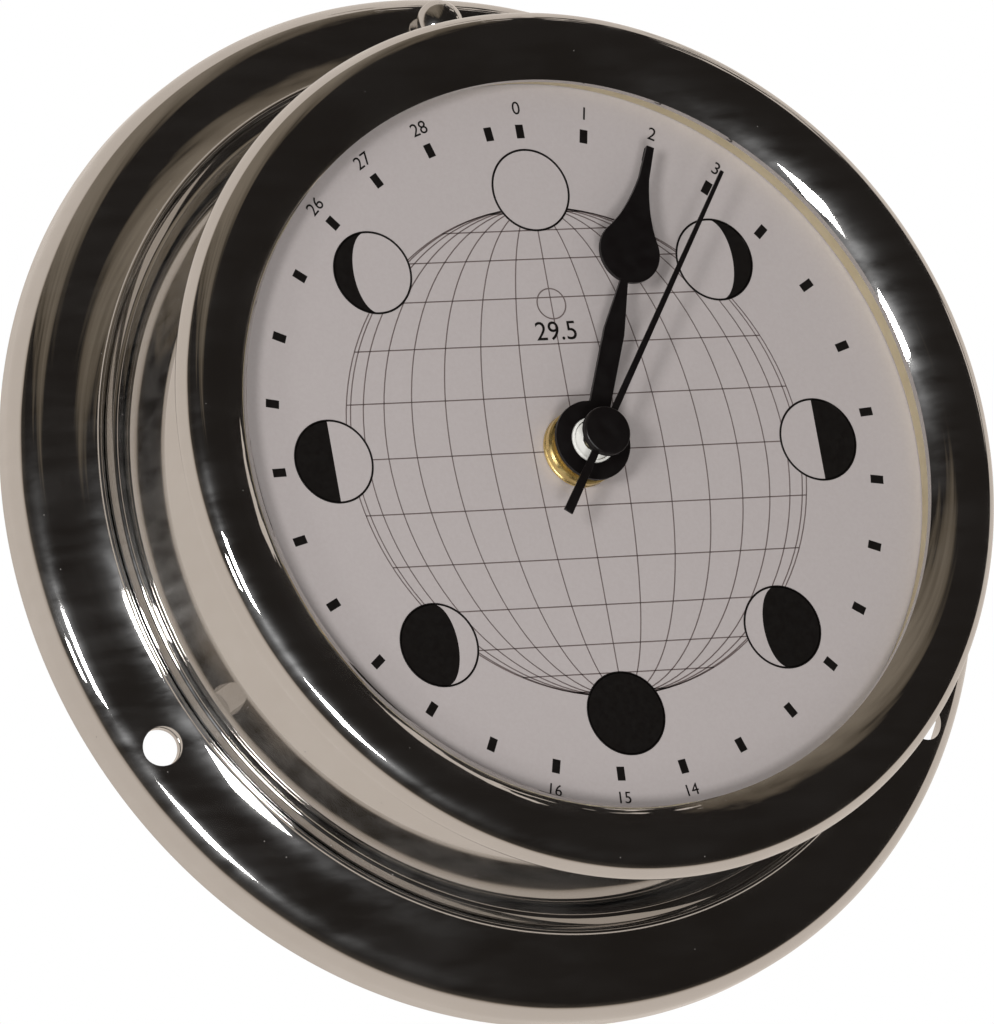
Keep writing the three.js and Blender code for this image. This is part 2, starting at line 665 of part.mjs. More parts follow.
// The point at one reach from the clock's axis and another from a wheel, on its clockwise side
function crossing(wheel, fromWheel, fromAxis) {
  const span = Math.hypot(...wheel);
  const corner = Math.acos((fromAxis ** 2 + span ** 2 - fromWheel ** 2) / (2 * fromAxis * span)) / deg;
  return polar(places.centre, fromAxis, direction(places.centre, wheel) - corner);
}

// The third and centre wheels share two axes with the pair before them, which sets their module
const centreModule = (2 * Math.hypot(...places.third)) / (THIRD_LEAVES + CENTRE_TEETH);

const arborBottom = housingFloor - PIVOT_DEPTH / 2;
const bridgeTop = bridgeLevel + BRIDGE_THICKNESS;

function arbor(top = bridgeTop) {
  return disc(ARBOR_RADIUS, arborBottom, top, { sides: PIN_SIDES });
}

function gearBridge() {
  const plate = block(
    [-innerHalf + SLIP_GAP, partitionTop - HOUSING_WALL, bridgeLevel],
    [innerHalf - SLIP_GAP, innerHalf - SLIP_GAP, bridgeTop],
  );
  const [under, over] = [bridgeLevel - OVERRUN, bridgeTop + OVERRUN];
  const bores = pins([places.intermediate, places.rotor, places.third], pinBore, under, over);
  const settingBore = pins([places.setting], SETTING_SHAFT_RADIUS + PIVOT_GAP, under, over);
  const middle = disc(pitchRadius(CENTRE_LEAVES, FIRST_MOON_MODULE) + SLIP_GAP, under, over);
  const posts = [
    [places.firstMoon, secondMoonLevel],
    [places.secondMoon, clutchLevel],
    [places.clutch, moonLevel],
  ].flatMap(([place, level]) =>
    pins([place], ARBOR_RADIUS, bridgeLevel + SINK, level + WHEEL_THICKNESS + POST_ABOVE_WHEEL));
  return join(cut(plate, ...bores, middle, ...settingBore), ...posts);
}

// Wheels, each drawn on its own axis

function rotor() {
  const magnetBottom = statorLevel + (STATOR_THICKNESS - MAGNET_HEIGHT) / 2;
  return join(
    gear(ROTOR_LEAVES, ROTOR_MODULE, rotorLevel, direction(places.rotor, places.intermediate)),
    disc(MAGNET_RADIUS, magnetBottom, magnetBottom + MAGNET_HEIGHT),
    arbor(),
  );
}

function intermediateWheel() {
  const toRotor = direction(places.intermediate, places.rotor);
  const toCentre = direction(places.intermediate, places.centre);
  return join(
    gear(INTERMEDIATE_TEETH, ROTOR_MODULE, rotorLevel, gapAngle(toRotor, INTERMEDIATE_TEETH)),
    gear(INTERMEDIATE_LEAVES, SECONDS_MODULE, secondsLevel, toCentre),
    arbor(),
  );
}

function secondsWheel() {
  const toIntermediate = direction(places.centre, places.intermediate);
  return join(
    gear(SECONDS_TEETH, SECONDS_MODULE, secondsLevel, gapAngle(toIntermediate, SECONDS_TEETH)),
    gear(SECONDS_LEAVES, THIRD_MODULE, thirdLevel, direction(places.centre, places.third)),
    arbor(DIAL_FACE + SECONDS_HAND_ABOVE_DIAL - SEAT_GAP),
  );
}

function thirdWheel() {
  const toCentre = direction(places.third, places.centre);
  return join(
    gear(THIRD_TEETH, THIRD_MODULE, thirdLevel, gapAngle(toCentre, THIRD_TEETH)),
    gear(THIRD_LEAVES, centreModule, centreLevel, toCentre),
    arbor(),
  );
}

function centreWheel() {
  const toThird = direction(places.centre, places.third);
  const toFirst = direction(places.centre, places.firstMoon);
  const top = firstMoonLevel + WHEEL_THICKNESS;
  return cut(
    join(
      gear(CENTRE_TEETH, centreModule, centreLevel, gapAngle(toThird, CENTRE_TEETH)),
      disc(pinBore + HUB_WALL, centreLevel, firstMoonLevel + SINK, { sides: PIN_SIDES }),
      gear(CENTRE_LEAVES, FIRST_MOON_MODULE, firstMoonLevel, toFirst),
    ),
    disc(pinBore, centreLevel - OVERRUN, top + OVERRUN, { sides: PIN_SIDES }),
  );
}

// A wheel with a smaller pinion above it, bored to run on a post
function postWheel(wheel, pinion) {
  const bottom = wheel.level;
  const top = pinion.level + WHEEL_THICKNESS;
  const hubRadius = pitchRadius(pinion.teeth, pinion.module) - pinion.module;
  return cut(
    join(
      gear(wheel.teeth, wheel.module, wheel.level, wheel.angle),
      gear(pinion.teeth, pinion.module, pinion.level, pinion.angle),
      disc(hubRadius, bottom, top, { sides: PIN_SIDES }),
    ),
    disc(pinBore, bottom - OVERRUN, top + OVERRUN, { sides: PIN_SIDES }),
  );
}

function firstMoonWheel() {
  return postWheel(
    {
      teeth: FIRST_MOON_TEETH,
      module: FIRST_MOON_MODULE,
      level: firstMoonLevel,
      angle: gapAngle(direction(places.firstMoon, places.centre), FIRST_MOON_TEETH),
    },
    {
      teeth: FIRST_MOON_LEAVES,
      module: SECOND_MOON_MODULE,
      level: secondMoonLevel,
      angle: direction(places.firstMoon, places.secondMoon),
    },
  );
}

function secondMoonWheel() {
  return postWheel(
    {
      teeth: SECOND_MOON_TEETH,
      module: SECOND_MOON_MODULE,
      level: secondMoonLevel,
      angle: gapAngle(direction(places.secondMoon, places.firstMoon), SECOND_MOON_TEETH),
    },
    {
      teeth: SECOND_MOON_LEAVES,
      module: SECOND_MOON_MODULE,
      level: clutchLevel,
      angle: direction(places.secondMoon, places.clutch),
    },
  );
}

// The clutch wheel slips on the pinion's hub when the knob is turned

const clutchHub = pinBore + HUB_WALL;

function clutchWheel() {
  const toSecond = direction(places.clutch, places.secondMoon);
  const angle = gapAngle(toSecond, CLUTCH_TEETH);
  return gear(CLUTCH_TEETH, SECOND_MOON_MODULE, clutchLevel, angle, clutchHub + PIVOT_GAP);
}

function clutchPinion() {
  const bottom = clutchLevel - SEAT_GAP;
  const top = moonLevel + WHEEL_THICKNESS;
  return cut(
    join(
      gear(CLUTCH_LEAVES, MOON_MODULE, moonLevel, direction(places.clutch, places.centre)),
      disc(clutchHub, bottom, moonLevel + SINK, { sides: PIN_SIDES }),
    ),
    disc(pinBore, bottom - OVERRUN, top + OVERRUN, { sides: PIN_SIDES }),
  );
}

const moonHandBottom = DIAL_FACE + MOON_HAND_ABOVE_DIAL;
const moonHandTop = moonHandBottom + MOON_HAND_THICKNESS;
const colletTop = moonHandTop + COLLET_ABOVE_HAND;

function moonWheel() {
  const toClutch = direction(places.centre, places.clutch);
  const pipeBottom = moonLevel + WHEEL_THICKNESS - SINK;
  return cut(
    join(
      gear(MOON_TEETH, MOON_MODULE, moonLevel, gapAngle(toClutch, MOON_TEETH)),
      disc(MOON_PIPE_RADIUS, pipeBottom, colletTop - SEAT_GAP),
    ),
    disc(MOON_PIPE_BORE, moonLevel - OVERRUN, colletTop + OVERRUN, { sides: SMALL_SIDES }),
  );
}

function settingKnob() {
  const top = housingRear - SLIP_GAP;
  const bottom = top - SETTING_KNOB_HEIGHT;
  const grooves = Array.from({ length: KNOB_GROOVES }, (_, i) => {
    const [x, y] = clockPoint(SETTING_KNOB_RADIUS, (i * 360) / KNOB_GROOVES);
    return disc(KNOB_GROOVE_RADIUS, bottom - OVERRUN, top + OVERRUN, { x, y, sides: 6 });
  });
  return join(
    cut(disc(SETTING_KNOB_RADIUS, bottom, top), ...grooves),
    disc(SETTING_SHAFT_RADIUS, top - SINK, moonLevel + SINK, { sides: PIN_SIDES }),
    gear(SETTING_LEAVES, MOON_MODULE, moonLevel, settingToothAngle()),
  );
}

// The clutch pinion sets where the moon wheel's gaps lie, so the knob's pinion turns to suit them
function settingToothAngle() {
  const pitch = 360 / MOON_TEETH;
  const gap = direction(places.centre, places.clutch);
  const towards = direction(places.centre, places.setting);
  const offset = (((gap - towards) % pitch) + pitch) % pitch;
  return direction(places.setting, places.centre) - (offset * MOON_TEETH) / SETTING_LEAVES;
}

// Motor, electronics and cell

const coreHalf = CORE_WIDTH / 2;
const coilX = -innerHalf + COIL_RADIUS + COIL_WALL_ROOM;
const coilZ = statorLevel + STATOR_THICKNESS / 2;

function stator() {
  const [rotorX, rotorY] = places.rotor;
  const left = coilX - coreHalf;
  const reach = COIL_LENGTH / 2 + SLIP_GAP + STATOR_ARM;
  const [armBottom, armTop] = [COIL_MIDDLE_Y - reach, COIL_MIDDLE_Y + reach];
  const window = MAGNET_RADIUS + MAGNET_ROOM;
  const side = window + STATOR_WEB;
  const plate = polygon([
    [left, armBottom],
    [rotorX + coreHalf, armBottom],
    [rotorX + coreHalf, rotorY - window - STATOR_ARM],
    [rotorX + side, rotorY - window - STATOR_ARM],
    [rotorX + side, armTop],
    [left, armTop],
  ], statorLevel, statorLevel + STATOR_THICKNESS);
  const coilGap = block(
    [coilX + coreHalf, armBottom + STATOR_ARM, statorLevel - OVERRUN],
    [rotorX - side, armTop - STATOR_ARM, statorLevel + STATOR_THICKNESS + OVERRUN],
  );
  const hole = disc(window, statorLevel - OVERRUN, statorLevel + STATOR_THICKNESS + OVERRUN,
    { x: rotorX, y: rotorY });
  return cut(plate, coilGap, hole);
}

// The winding between the two cheeks of its bobbin
function coil() {
  const half = COIL_LENGTH / 2;
  const bore = coreHalf + BOBBIN_WALL;
  const winding = COIL_RADIUS - BOBBIN_CHEEK_RISE;
  return turned([
    [bore, -half],
    [COIL_RADIUS, -half],
    [COIL_RADIUS, -half + BOBBIN_CHEEK],
    [winding, -half + BOBBIN_CHEEK],
    [winding, half - BOBBIN_CHEEK],
    [COIL_RADIUS, half - BOBBIN_CHEEK],
    [COIL_RADIUS, half],
    [bore, half],
  ]).rotate([90, 0, 0]).translate([coilX, COIL_MIDDLE_Y, coilZ]);
}

const boardEdge = innerHalf - SLIP_GAP;
const boardBottom = housingFloor + BOARD_ROOM;
const boardTop = boardBottom + BOARD_THICKNESS;

function circuitBoard() {
  const plate = block(
    [boardEdge - BOARD_LENGTH, boardEdge - BOARD_WIDTH, boardBottom],
    [boardEdge, boardEdge, boardTop],
  );
  const notch = cornerPosts[1][0] - POST_RADIUS - SLIP_GAP;
  const corner = block(
    [notch, notch, boardBottom - OVERRUN],
    [innerHalf, innerHalf, boardTop + OVERRUN],
  );
  const chip = disc(CHIP_RADIUS, boardTop - SINK, boardTop + CHIP_HEIGHT,
    { x: boardEdge - CHIP_INSET[0], y: boardEdge - CHIP_INSET[1], sides: SMALL_SIDES });
  return join(cut(plate, corner), chip);
}

function timingCrystal() {
  return disc(CRYSTAL_RADIUS, -CRYSTAL_LENGTH / 2, CRYSTAL_LENGTH / 2, { sides: PIN_SIDES })
    .rotate([0, 90, 0])
    .translate([
      boardEdge - CRYSTAL_INSET[0],
      boardEdge - CRYSTAL_INSET[1],
      boardTop + CRYSTAL_RADIUS + SEAT_GAP,
    ]);
}

function cell() {
  const half = CELL_LENGTH / 2;
  return turned([
    [0, -half],
    [CELL_RADIUS, -half],
    [CELL_RADIUS, half],
    [CELL_NUB_RADIUS, half],
    [CELL_NUB_RADIUS, half + CELL_NUB_LENGTH],
    [0, half + CELL_NUB_LENGTH],
  ]).rotate([0, 90, 0]).translate([-CELL_NUB_LENGTH / 2, cellY, cellZ]);
}

// A spring plate at the right (side 1) or left (side -1) end of the cell
function contact(side) {
  const middle = side * (innerHalf - CONTACT_INSET);
  const [thick, wide] = [CONTACT_THICKNESS / 2, CONTACT_WIDTH / 2];
  return block(
    [middle - thick, cellY - wide, cellZ - wide],
    [middle + thick, cellY + wide, cellZ + wide],
  );
}

// Bush, nut and washer that clamp the movement to the dial

function dialWasher() {
  const bottom = housingFront + SEAT_GAP;
  return disc(DIAL_WASHER_RADIUS, bottom, bottom + DIAL_WASHER_THICKNESS,
    { bore: BUSH_RADIUS + SLIP_GAP, sides: NUT_SIDES });
}

function threadedBush() {
  const flangeTop = housingCeiling - SEAT_GAP;
  const top = DIAL_FACE + BUSH_ABOVE_DIAL;
  return turned([
    [BUSH_BORE, flangeTop - BUSH_FLANGE_THICKNESS],
    [BUSH_FLANGE, flangeTop - BUSH_FLANGE_THICKNESS],
    [BUSH_FLANGE, flangeTop],
    [BUSH_RADIUS, flangeTop],
    [BUSH_RADIUS, top - EDGE_CHAMFER],
    [BUSH_RADIUS - EDGE_CHAMFER, top],
    [BUSH_BORE, top],
  ]);
}

function fixingNut() {
  const bottom = DIAL_FACE + SEAT_GAP;
  const top = bottom + NUT_HEIGHT;
  const bore = BUSH_RADIUS + PIVOT_GAP;
  return turned([
    [bore, bottom],
    [NUT_RADIUS, bottom],
    [NUT_RADIUS, top - EDGE_CHAMFER],
    [NUT_RADIUS - EDGE_CHAMFER, top],
    [bore, top],
  ], NUT_SIDES);
}

// Hands, drawn pointing to twelve and turned to where the photograph shows them

function moonCollet() {
  const flangeTop = moonHandBottom - SEAT_GAP;
  const bore = MOON_PIPE_RADIUS + PIVOT_GAP;
  return turned([
    [bore, flangeTop - COLLET_FLANGE_THICKNESS],
    [COLLET_FLANGE, flangeTop - COLLET_FLANGE_THICKNESS],
    [COLLET_FLANGE, flangeTop],
    [COLLET_RADIUS, flangeTop],
    [COLLET_RADIUS, colletTop],
    [bore, colletTop],
  ]);
}

function moonHand() {
  const tip = lipRadius - MOON_TIP_ROOM;
  const spade = [0, tip - SPADE_TO_TIP];
  const waistAngle = -Math.acos(SPADE_WAIST / 2 / SPADE_RADIUS) / deg;
  const spadeSide = arc(spade, SPADE_RADIUS, waistAngle, SPADE_SHOULDER, 9);
  const hollow = new THREE.QuadraticBezierCurve(
    new THREE.Vector2(...spadeSide.at(-1)),
    new THREE.Vector2(SPADE_HOLLOW_WIDTH / 2, spade[1] + SPADE_HOLLOW_RISE),
    new THREE.Vector2(POINT_ROOT_WIDTH / 2, tip - POINT_LENGTH),
  );
  const side = [
    [SHAFT_WIDTH / 2, MOON_HAND_HUB - OVERRUN],
    [SHAFT_WIDTH / 2, spade[1] - SPADE_RADIUS - SHAFT_TAPER_LENGTH],
    ...spadeSide,
    ...hollow.getPoints(7).slice(1).map(({ x, y }) => [x, y]),
    [POINT_WIDTH / 2, tip],
  ];
  const otherSide = side.map(([x, y]) => [-x, y]).reverse();
  const blade = polygon([...side, ...otherSide], moonHandBottom, moonHandTop);
  const hub = disc(MOON_HAND_HUB, moonHandBottom, moonHandTop, { sides: NUT_SIDES });
  const bore = disc(COLLET_RADIUS + PIVOT_GAP, moonHandBottom - OVERRUN, moonHandTop + OVERRUN);
  return cut(join(blade, hub), bore).rotate([0, 0, -MOON_HAND_ANGLE]);
}

const secondsBottom = DIAL_FACE + SECONDS_HAND_ABOVE_DIAL;
const secondsTop = secondsBottom + SECONDS_HAND_THICKNESS;

function secondsHand() {
  const tip = lipRadius - SECONDS_TIP_ROOM;
  const side = [
    [SECONDS_TAIL_WIDTH / 2, -SECONDS_TAIL_LENGTH],
    [SECONDS_MIDDLE_WIDTH / 2, 0],
    [SECONDS_TIP_WIDTH / 2, tip],
  ];
  const otherSide = side.map(([x, y]) => [-x, y]).reverse();
  const blade = polygon([...side, ...otherSide], secondsBottom, secondsTop);
  const socketBottom = secondsBottom - SECONDS_SOCKET_LENGTH;
  const socket = cut(
    disc(SECONDS_SOCKET_RADIUS, socketBottom, secondsBottom + SINK, { sides: SMALL_SIDES }),
    disc(pinBore, socketBottom - OVERRUN, secondsBottom - SINK / 2, { sides: PIN_SIDES }),
  );
  return join(socket, blade).rotate([0, 0, -SECONDS_HAND_ANGLE]);
}

function secondsCap() {
  const bottom = secondsTop + SEAT_GAP / 4;
  const top = bottom + SECONDS_CAP_HEIGHT;
  return turned([
    [0, bottom],
    [SECONDS_CAP_RADIUS - CAP_LOWER_CHAMFER, bottom],
    [SECONDS_CAP_RADIUS, bottom + CAP_LOWER_CHAMFER],
    [SECONDS_CAP_RADIUS, top - CAP_UPPER_CHAMFER],
    [SECONDS_CAP_RADIUS - CAP_UPPER_CHAMFER, top],
    [0, top],
  ], CAP_SIDES);
}

// Assembly

piece('mounting_ring', mountingRing(), 'chrome');
piece('case_drum', caseDrum(), 'chrome');
piece('bezel_ring', bezelRing(), 'chrome');
piece('spacer_ring', spacerRing(), 'spacer');
piece('dial_plate', dialPlate(), 'dial');
caseScrewPlaces.forEach((place, i) => {
  piece(`case_screw_${i + 1}`, caseScrew(), 'steel', place);
  piece(`case_nut_${i + 1}`, caseNut(), 'steel', place);
});
piece('top_mounting_screw', topScrew(), 'chrome', mountHolePlaces[0]);

piece('dial_washer', dialWasher(), 'rubber');
piece('threaded_bush', threadedBush(), 'brass');
piece('fixing_nut', fixingNut(), 'brass');
piece('movement_rear_shell', movementRear(), 'blackPlastic');
piece('movement_front_shell', movementFront(), 'blackPlastic');
piece('gear_bridge', gearBridge(), 'whitePlastic');
piece('motor_stator', stator(), 'steel');
piece('motor_coil', coil(), 'copper');
piece('circuit_board', circuitBoard(), 'board');
piece('timing_crystal', timingCrystal(), 'steel');
piece('cell', cell(), 'cell');
piece('positive_contact', contact(1), 'steel');
piece('negative_contact', contact(-1), 'steel');

piece('rotor', rotor(), 'steel', places.rotor);
piece('intermediate_wheel', intermediateWheel(), 'gearPlastic', places.intermediate);
piece('seconds_wheel', secondsWheel(), 'gearPlastic');
piece('third_wheel', thirdWheel(), 'gearPlastic', places.third);
piece('centre_wheel', centreWheel(), 'gearPlastic');
piece('first_moon_wheel', firstMoonWheel(), 'whitePlastic', places.firstMoon);
piece('second_moon_wheel', secondMoonWheel(), 'whitePlastic', places.secondMoon);
piece('clutch_wheel', clutchWheel(), 'whitePlastic', places.clutch);
piece('clutch_pinion', clutchPinion(), 'brass', places.clutch);
piece('moon_wheel', moonWheel(), 'whitePlastic');
piece('setting_knob', settingKnob(), 'blackPlastic', places.setting);

piece('moon_collet', moonCollet(), 'whitePlastic');
piece('moon_hand', moonHand(), 'hand');
piece('seconds_hand', secondsHand(), 'hand');
piece('seconds_cap', secondsCap(), 'hand');

const clock = new THREE.Group();
clock.add(...pieces);
clock.rotation.x = Math.PI / 2;

const part = new THREE.Group();
part.add(clock);

export default part;
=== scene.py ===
# %% [markdown]
# # A moon-month clock for a cabin wall
#
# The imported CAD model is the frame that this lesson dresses. It has every solid of the clock, at
# its real size and in its real place, with the front facing -Y and twelve o'clock up. Blender adds
# what solids can't show: smooth spun metal, print on the dial, and finishes that catch the light.

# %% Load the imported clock
import json
import math

import bmesh
import bpy
from mathutils import Matrix, Vector


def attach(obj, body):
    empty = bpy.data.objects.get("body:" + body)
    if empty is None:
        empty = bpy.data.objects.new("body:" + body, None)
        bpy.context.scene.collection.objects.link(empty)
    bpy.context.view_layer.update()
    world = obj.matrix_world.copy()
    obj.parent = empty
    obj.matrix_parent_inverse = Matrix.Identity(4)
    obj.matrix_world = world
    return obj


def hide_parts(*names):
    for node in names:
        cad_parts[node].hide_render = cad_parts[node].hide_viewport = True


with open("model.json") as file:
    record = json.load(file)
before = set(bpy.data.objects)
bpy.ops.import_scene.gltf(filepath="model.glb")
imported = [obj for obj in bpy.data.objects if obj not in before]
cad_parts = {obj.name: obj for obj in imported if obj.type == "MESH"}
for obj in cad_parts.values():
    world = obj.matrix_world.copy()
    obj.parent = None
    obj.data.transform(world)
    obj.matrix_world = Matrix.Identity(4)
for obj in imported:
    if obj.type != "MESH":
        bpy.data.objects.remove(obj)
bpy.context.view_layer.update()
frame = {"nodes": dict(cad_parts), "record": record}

MM = 0.001

# %% [markdown]
# ## The camera
#
# The clock was photographed from the left and a little from below, with a long lens from far away,
# so circles come out as almost true ellipses. A camera can be turned with angles, but here its
# forward and up directions are known, so they fill its matrix directly.

# %% Camera at the photograph's viewing angle
CAMERA_PLACE = Vector((-0.90254, -1.66220, -0.47287))
CAMERA_FORWARD = Vector((0.463495, 0.852293, 0.242422))
CAMERA_UP = Vector((0.042386, -0.294595, 0.954682))

lens = bpy.data.cameras.new("camera")
lens.lens = 487.84
lens.sensor_width = 36
lens.clip_end = 20
camera = bpy.data.objects.new("camera", lens)
right = CAMERA_FORWARD.cross(CAMERA_UP).normalized()
up = right.cross(CAMERA_FORWARD).normalized()
turn = Matrix((right, up, -CAMERA_FORWARD.normalized())).transposed()
camera.matrix_world = Matrix.Translation(CAMERA_PLACE) @ turn.to_4x4()
bpy.context.scene.collection.objects.link(camera)
bpy.context.scene.camera = camera
bpy.context.scene.view_settings.view_transform = "Standard"
print("camera is", round(CAMERA_PLACE.length, 2), "m from the wall plane's middle")

# %% [markdown]
# ## Small helpers for nodes
#
# Materials, the world and Geometry Nodes are all node trees. Two helpers keep the cells short: one
# adds a node and sets its sockets by name, the other joins an output to an input.


# %% Add and join nodes
def add(tree, kind, inputs=None, **settings):
    """A new node of a kind, with its settings and the values of its input sockets."""
    node = tree.nodes.new(kind)
    for name, value in settings.items():
        setattr(node, name, value)
    for name, value in (inputs or {}).items():
        if isinstance(value, bpy.types.NodeSocket):
            tree.links.new(value, node.inputs[name])
        else:
            node.inputs[name].default_value = value
    return node


def maths(tree, operation, first, second=0.0):
    """The result of a sum on two values or sockets."""
    return add(tree, "ShaderNodeMath", {0: first, 1: second}, operation=operation).outputs[0]


# %% [markdown]
# ## Light and background
#
# Polished chrome has hardly a colour of its own: it looks the way its surroundings do. The
# photograph was taken on pale card in a dark room, with soft lamps at the front left. So the
# world shows pale card behind and beside the clock and a dim room in front of it, and is plain
# white to the camera. Diffuse surfaces get an even, neutral share of light from it.


# %% Soft lamps
LAMP_DISTANCE = 1.3


def soft_lamp(name, towards, width, height, power):
    """A soft box that faces the clock from a direction."""
    light = bpy.data.lights.new(name, "AREA")
    light.shape = "RECTANGLE"
    light.size = width
    light.size_y = height
    light.energy = power
    lamp = bpy.data.objects.new(name, light)
    place = Vector(towards).normalized() * LAMP_DISTANCE
    facing = place.to_track_quat("Z", "Y").to_matrix().to_4x4()
    lamp.matrix_world = Matrix.Translation(place) @ facing
    lamp.visible_camera = False
    bpy.context.scene.collection.objects.link(lamp)
    print(name, "gives", power, "W")


soft_lamp("lower_soft_box", (-0.378, -0.816, -0.440), 0.28, 0.26, 9.0)
soft_lamp("left_soft_box", (-0.669, -0.740, -0.083), 0.20, 0.28, 9.0)
soft_lamp("low_window", (-0.872, -0.469, -0.138), 0.14, 0.15, 2.0)

# %% World: dim room in front, pale card behind, white to the camera
world = bpy.data.worlds.new("studio")
world.use_nodes = True
bpy.context.scene.world = world
sky = world.node_tree
sky.nodes.clear()

view = add(sky, "ShaderNodeTexCoord").outputs["Generated"]
axes = add(sky, "ShaderNodeSeparateXYZ", {0: view}).outputs
front = maths(sky, "MULTIPLY", axes[1], -1.0)


def side_of(plane):
    """How far the direction looked in lies on the inner side of a plane through the middle."""
    sockets = {0: view, 1: plane}
    return add(sky, "ShaderNodeVectorMath", sockets, operation="DOT_PRODUCT").outputs["Value"]


def unevenness(vector, scale, share):
    """Noise over directions, as an offset of up to half a share either way."""
    sockets = {"Vector": vector, "Scale": scale, "Detail": 3.0}
    grain = add(sky, "ShaderNodeTexNoise", sockets).outputs[0]
    return maths(sky, "MULTIPLY", maths(sky, "SUBTRACT", grain, 0.5), share)


# The card's far edge stands higher on the left and below, and is a little uneven.
CARD_EDGE, CARD_SLANT = 0.22, (-0.16, 0, -0.14)
edge = maths(sky, "ADD", side_of(CARD_SLANT), CARD_EDGE)
edge = maths(sky, "ADD", edge, unevenness(view, 4.0, 0.25))
height = maths(sky, "DIVIDE", front, edge)
share = maths(sky, "MULTIPLY", maths(sky, "ADD", height, 1.0), 0.33)
room = add(sky, "ShaderNodeValToRGB", {0: share})
stops = [
    (0.30, (0.74, 0.66, 0.59, 1)),
    (0.38, (0.66, 0.58, 0.51, 1)),
    (0.45, (0.50, 0.43, 0.37, 1)),
    (0.49, (0.20, 0.165, 0.13, 1)),
    (0.53, (0.050, 0.042, 0.034, 1)),
    (0.80, (0.019, 0.016, 0.014, 1)),
]
while len(room.color_ramp.elements) < len(stops):
    room.color_ramp.elements.new(0.5)
for element, (position, colour) in zip(room.color_ramp.elements, stops):
    element.position = position
    element.color = colour

# %% World: a brown corner of the room at the upper left, with a ragged edge
CORNER_BELOW, CORNER_BESIDE = (0.643, -0.029, 0.669), (-0.727, 0.26, 0.469)
CORNER_DARK, CORNER_LIGHT = (0.115, 0.093, 0.068, 1), (0.25, 0.21, 0.165, 1)
stretched = add(sky, "ShaderNodeMapping", {"Vector": view, "Scale": (9.0, 2.0, 2.0)}).outputs[0]
corner = maths(sky, "MINIMUM", side_of(CORNER_BELOW), side_of(CORNER_BESIDE))
corner = maths(sky, "ADD", corner, unevenness(stretched, 1.3, 0.45))
inside = add(sky, "ShaderNodeMapRange", {"Value": corner, "From Min": 0.0, "From Max": 0.10})
depth = add(sky, "ShaderNodeMapRange", {"Value": corner, "From Min": 0.08, "From Max": 0.40})
tones = {"Factor": depth.outputs[0], 6: CORNER_DARK, 7: CORNER_LIGHT}
olive = add(sky, "ShaderNodeMix", tones, data_type="RGBA")
layers = {"Factor": inside.outputs[0], 6: room.outputs[0], 7: olive.outputs[2]}
room_corner = add(sky, "ShaderNodeMix", layers, data_type="RGBA", blend_type="LIGHTEN")

# %% World: what mirrors, matt surfaces and the camera see
path = add(sky, "ShaderNodeLightPath").outputs
even = add(sky, "ShaderNodeBackground", {"Color": (1.0, 0.985, 0.97, 1), "Strength": 0.32})
mirrored = add(sky, "ShaderNodeBackground", {"Color": room_corner.outputs[2], "Strength": 1.0})
white = add(sky, "ShaderNodeBackground", {"Color": (1, 1, 1, 1), "Strength": 1.0})
sharp_ray = maths(sky, "MAXIMUM", path["Is Glossy Ray"], path["Is Transmission Ray"])
lit = add(sky, "ShaderNodeMixShader", {0: sharp_ray, 1: even.outputs[0], 2: mirrored.outputs[0]})
layers = {0: path["Is Camera Ray"], 1: lit.outputs[0], 2: white.outputs[0]}
seen = add(sky, "ShaderNodeMixShader", layers)
add(sky, "ShaderNodeOutputWorld", {"Surface": seen.outputs[0]})
print("world nodes:", len(sky.nodes))

# %% [markdown]
# ## Finishes
#
# Every surface gets a Principled shader with its plain values set on the shader's own sockets, and
# a few texture nodes for what varies over the surface: grain, polish, turning marks, specks of
# dust. All textures read Object coordinates, which on these pieces are metres, so a noise scale of
# 1000 gives detail of about a millimetre.


# %% Base of every finish
def finish(name, colour, roughness, metallic=0.0, **sockets):
    """A material with a Principled shader, ready for its own textures."""
    material = bpy.data.materials.new(name)
    material.use_nodes = True
    shader = material.node_tree.nodes["Principled BSDF"]
    shader.inputs["Base Color"].default_value = (*colour, 1)
    shader.inputs["Roughness"].default_value = roughness
    shader.inputs["Metallic"].default_value = metallic
    for socket, value in sockets.items():
        shader.inputs[socket.replace("_", " ")].default_value = value
    return material


def noise(tree, scale, detail=3.0, stretch=None):
    """Noise in Object coordinates, from 0 to 1, stretched along an axis if asked."""
    place = add(tree, "ShaderNodeTexCoord").outputs["Object"]
    if stretch:
        place = add(tree, "ShaderNodeMapping", {"Vector": place, "Scale": stretch}).outputs[0]
    sockets = {"Vector": place, "Scale": scale, "Detail": detail}
    return add(tree, "ShaderNodeTexNoise", sockets).outputs[0]


def spread(tree, value, low, high, start=0.35, end=0.65):
    """A value between start and end drawn out to between low and high."""
    sockets = {"Value": value, "From Min": start, "From Max": end, "To Min": low, "To Max": high}
    return add(tree, "ShaderNodeMapRange", sockets).outputs[0]


def two_tone(tree, share, dark, light):
    """A colour between two, by a share from 0 to 1."""
    sockets = {"Factor": share, 6: (*dark, 1), 7: (*light, 1)}
    return add(tree, "ShaderNodeMix", sockets, data_type="RGBA").outputs[2]


def raise_by(material, height, distance, strength=1.0):
    """Bump from a height between 0 and 1, distance metres deep."""
    tree = material.node_tree
    sockets = {"Height": height, "Distance": distance, "Strength": strength}
    bump = add(tree, "ShaderNodeBump", sockets).outputs[0]
    tree.links.new(bump, tree.nodes["Principled BSDF"].inputs["Normal"])


def feed(material, socket, value):
    """Joins a texture's output to one of the shader's sockets."""
    shader = material.node_tree.nodes["Principled BSDF"]
    material.node_tree.links.new(value, shader.inputs[socket])


def tinted(material, grain, dark, light, detail=3.0):
    """Gives a finish two tones, mixed by noise."""
    tree = material.node_tree
    feed(material, "Base Color", two_tone(tree, noise(tree, grain, detail), dark, light))


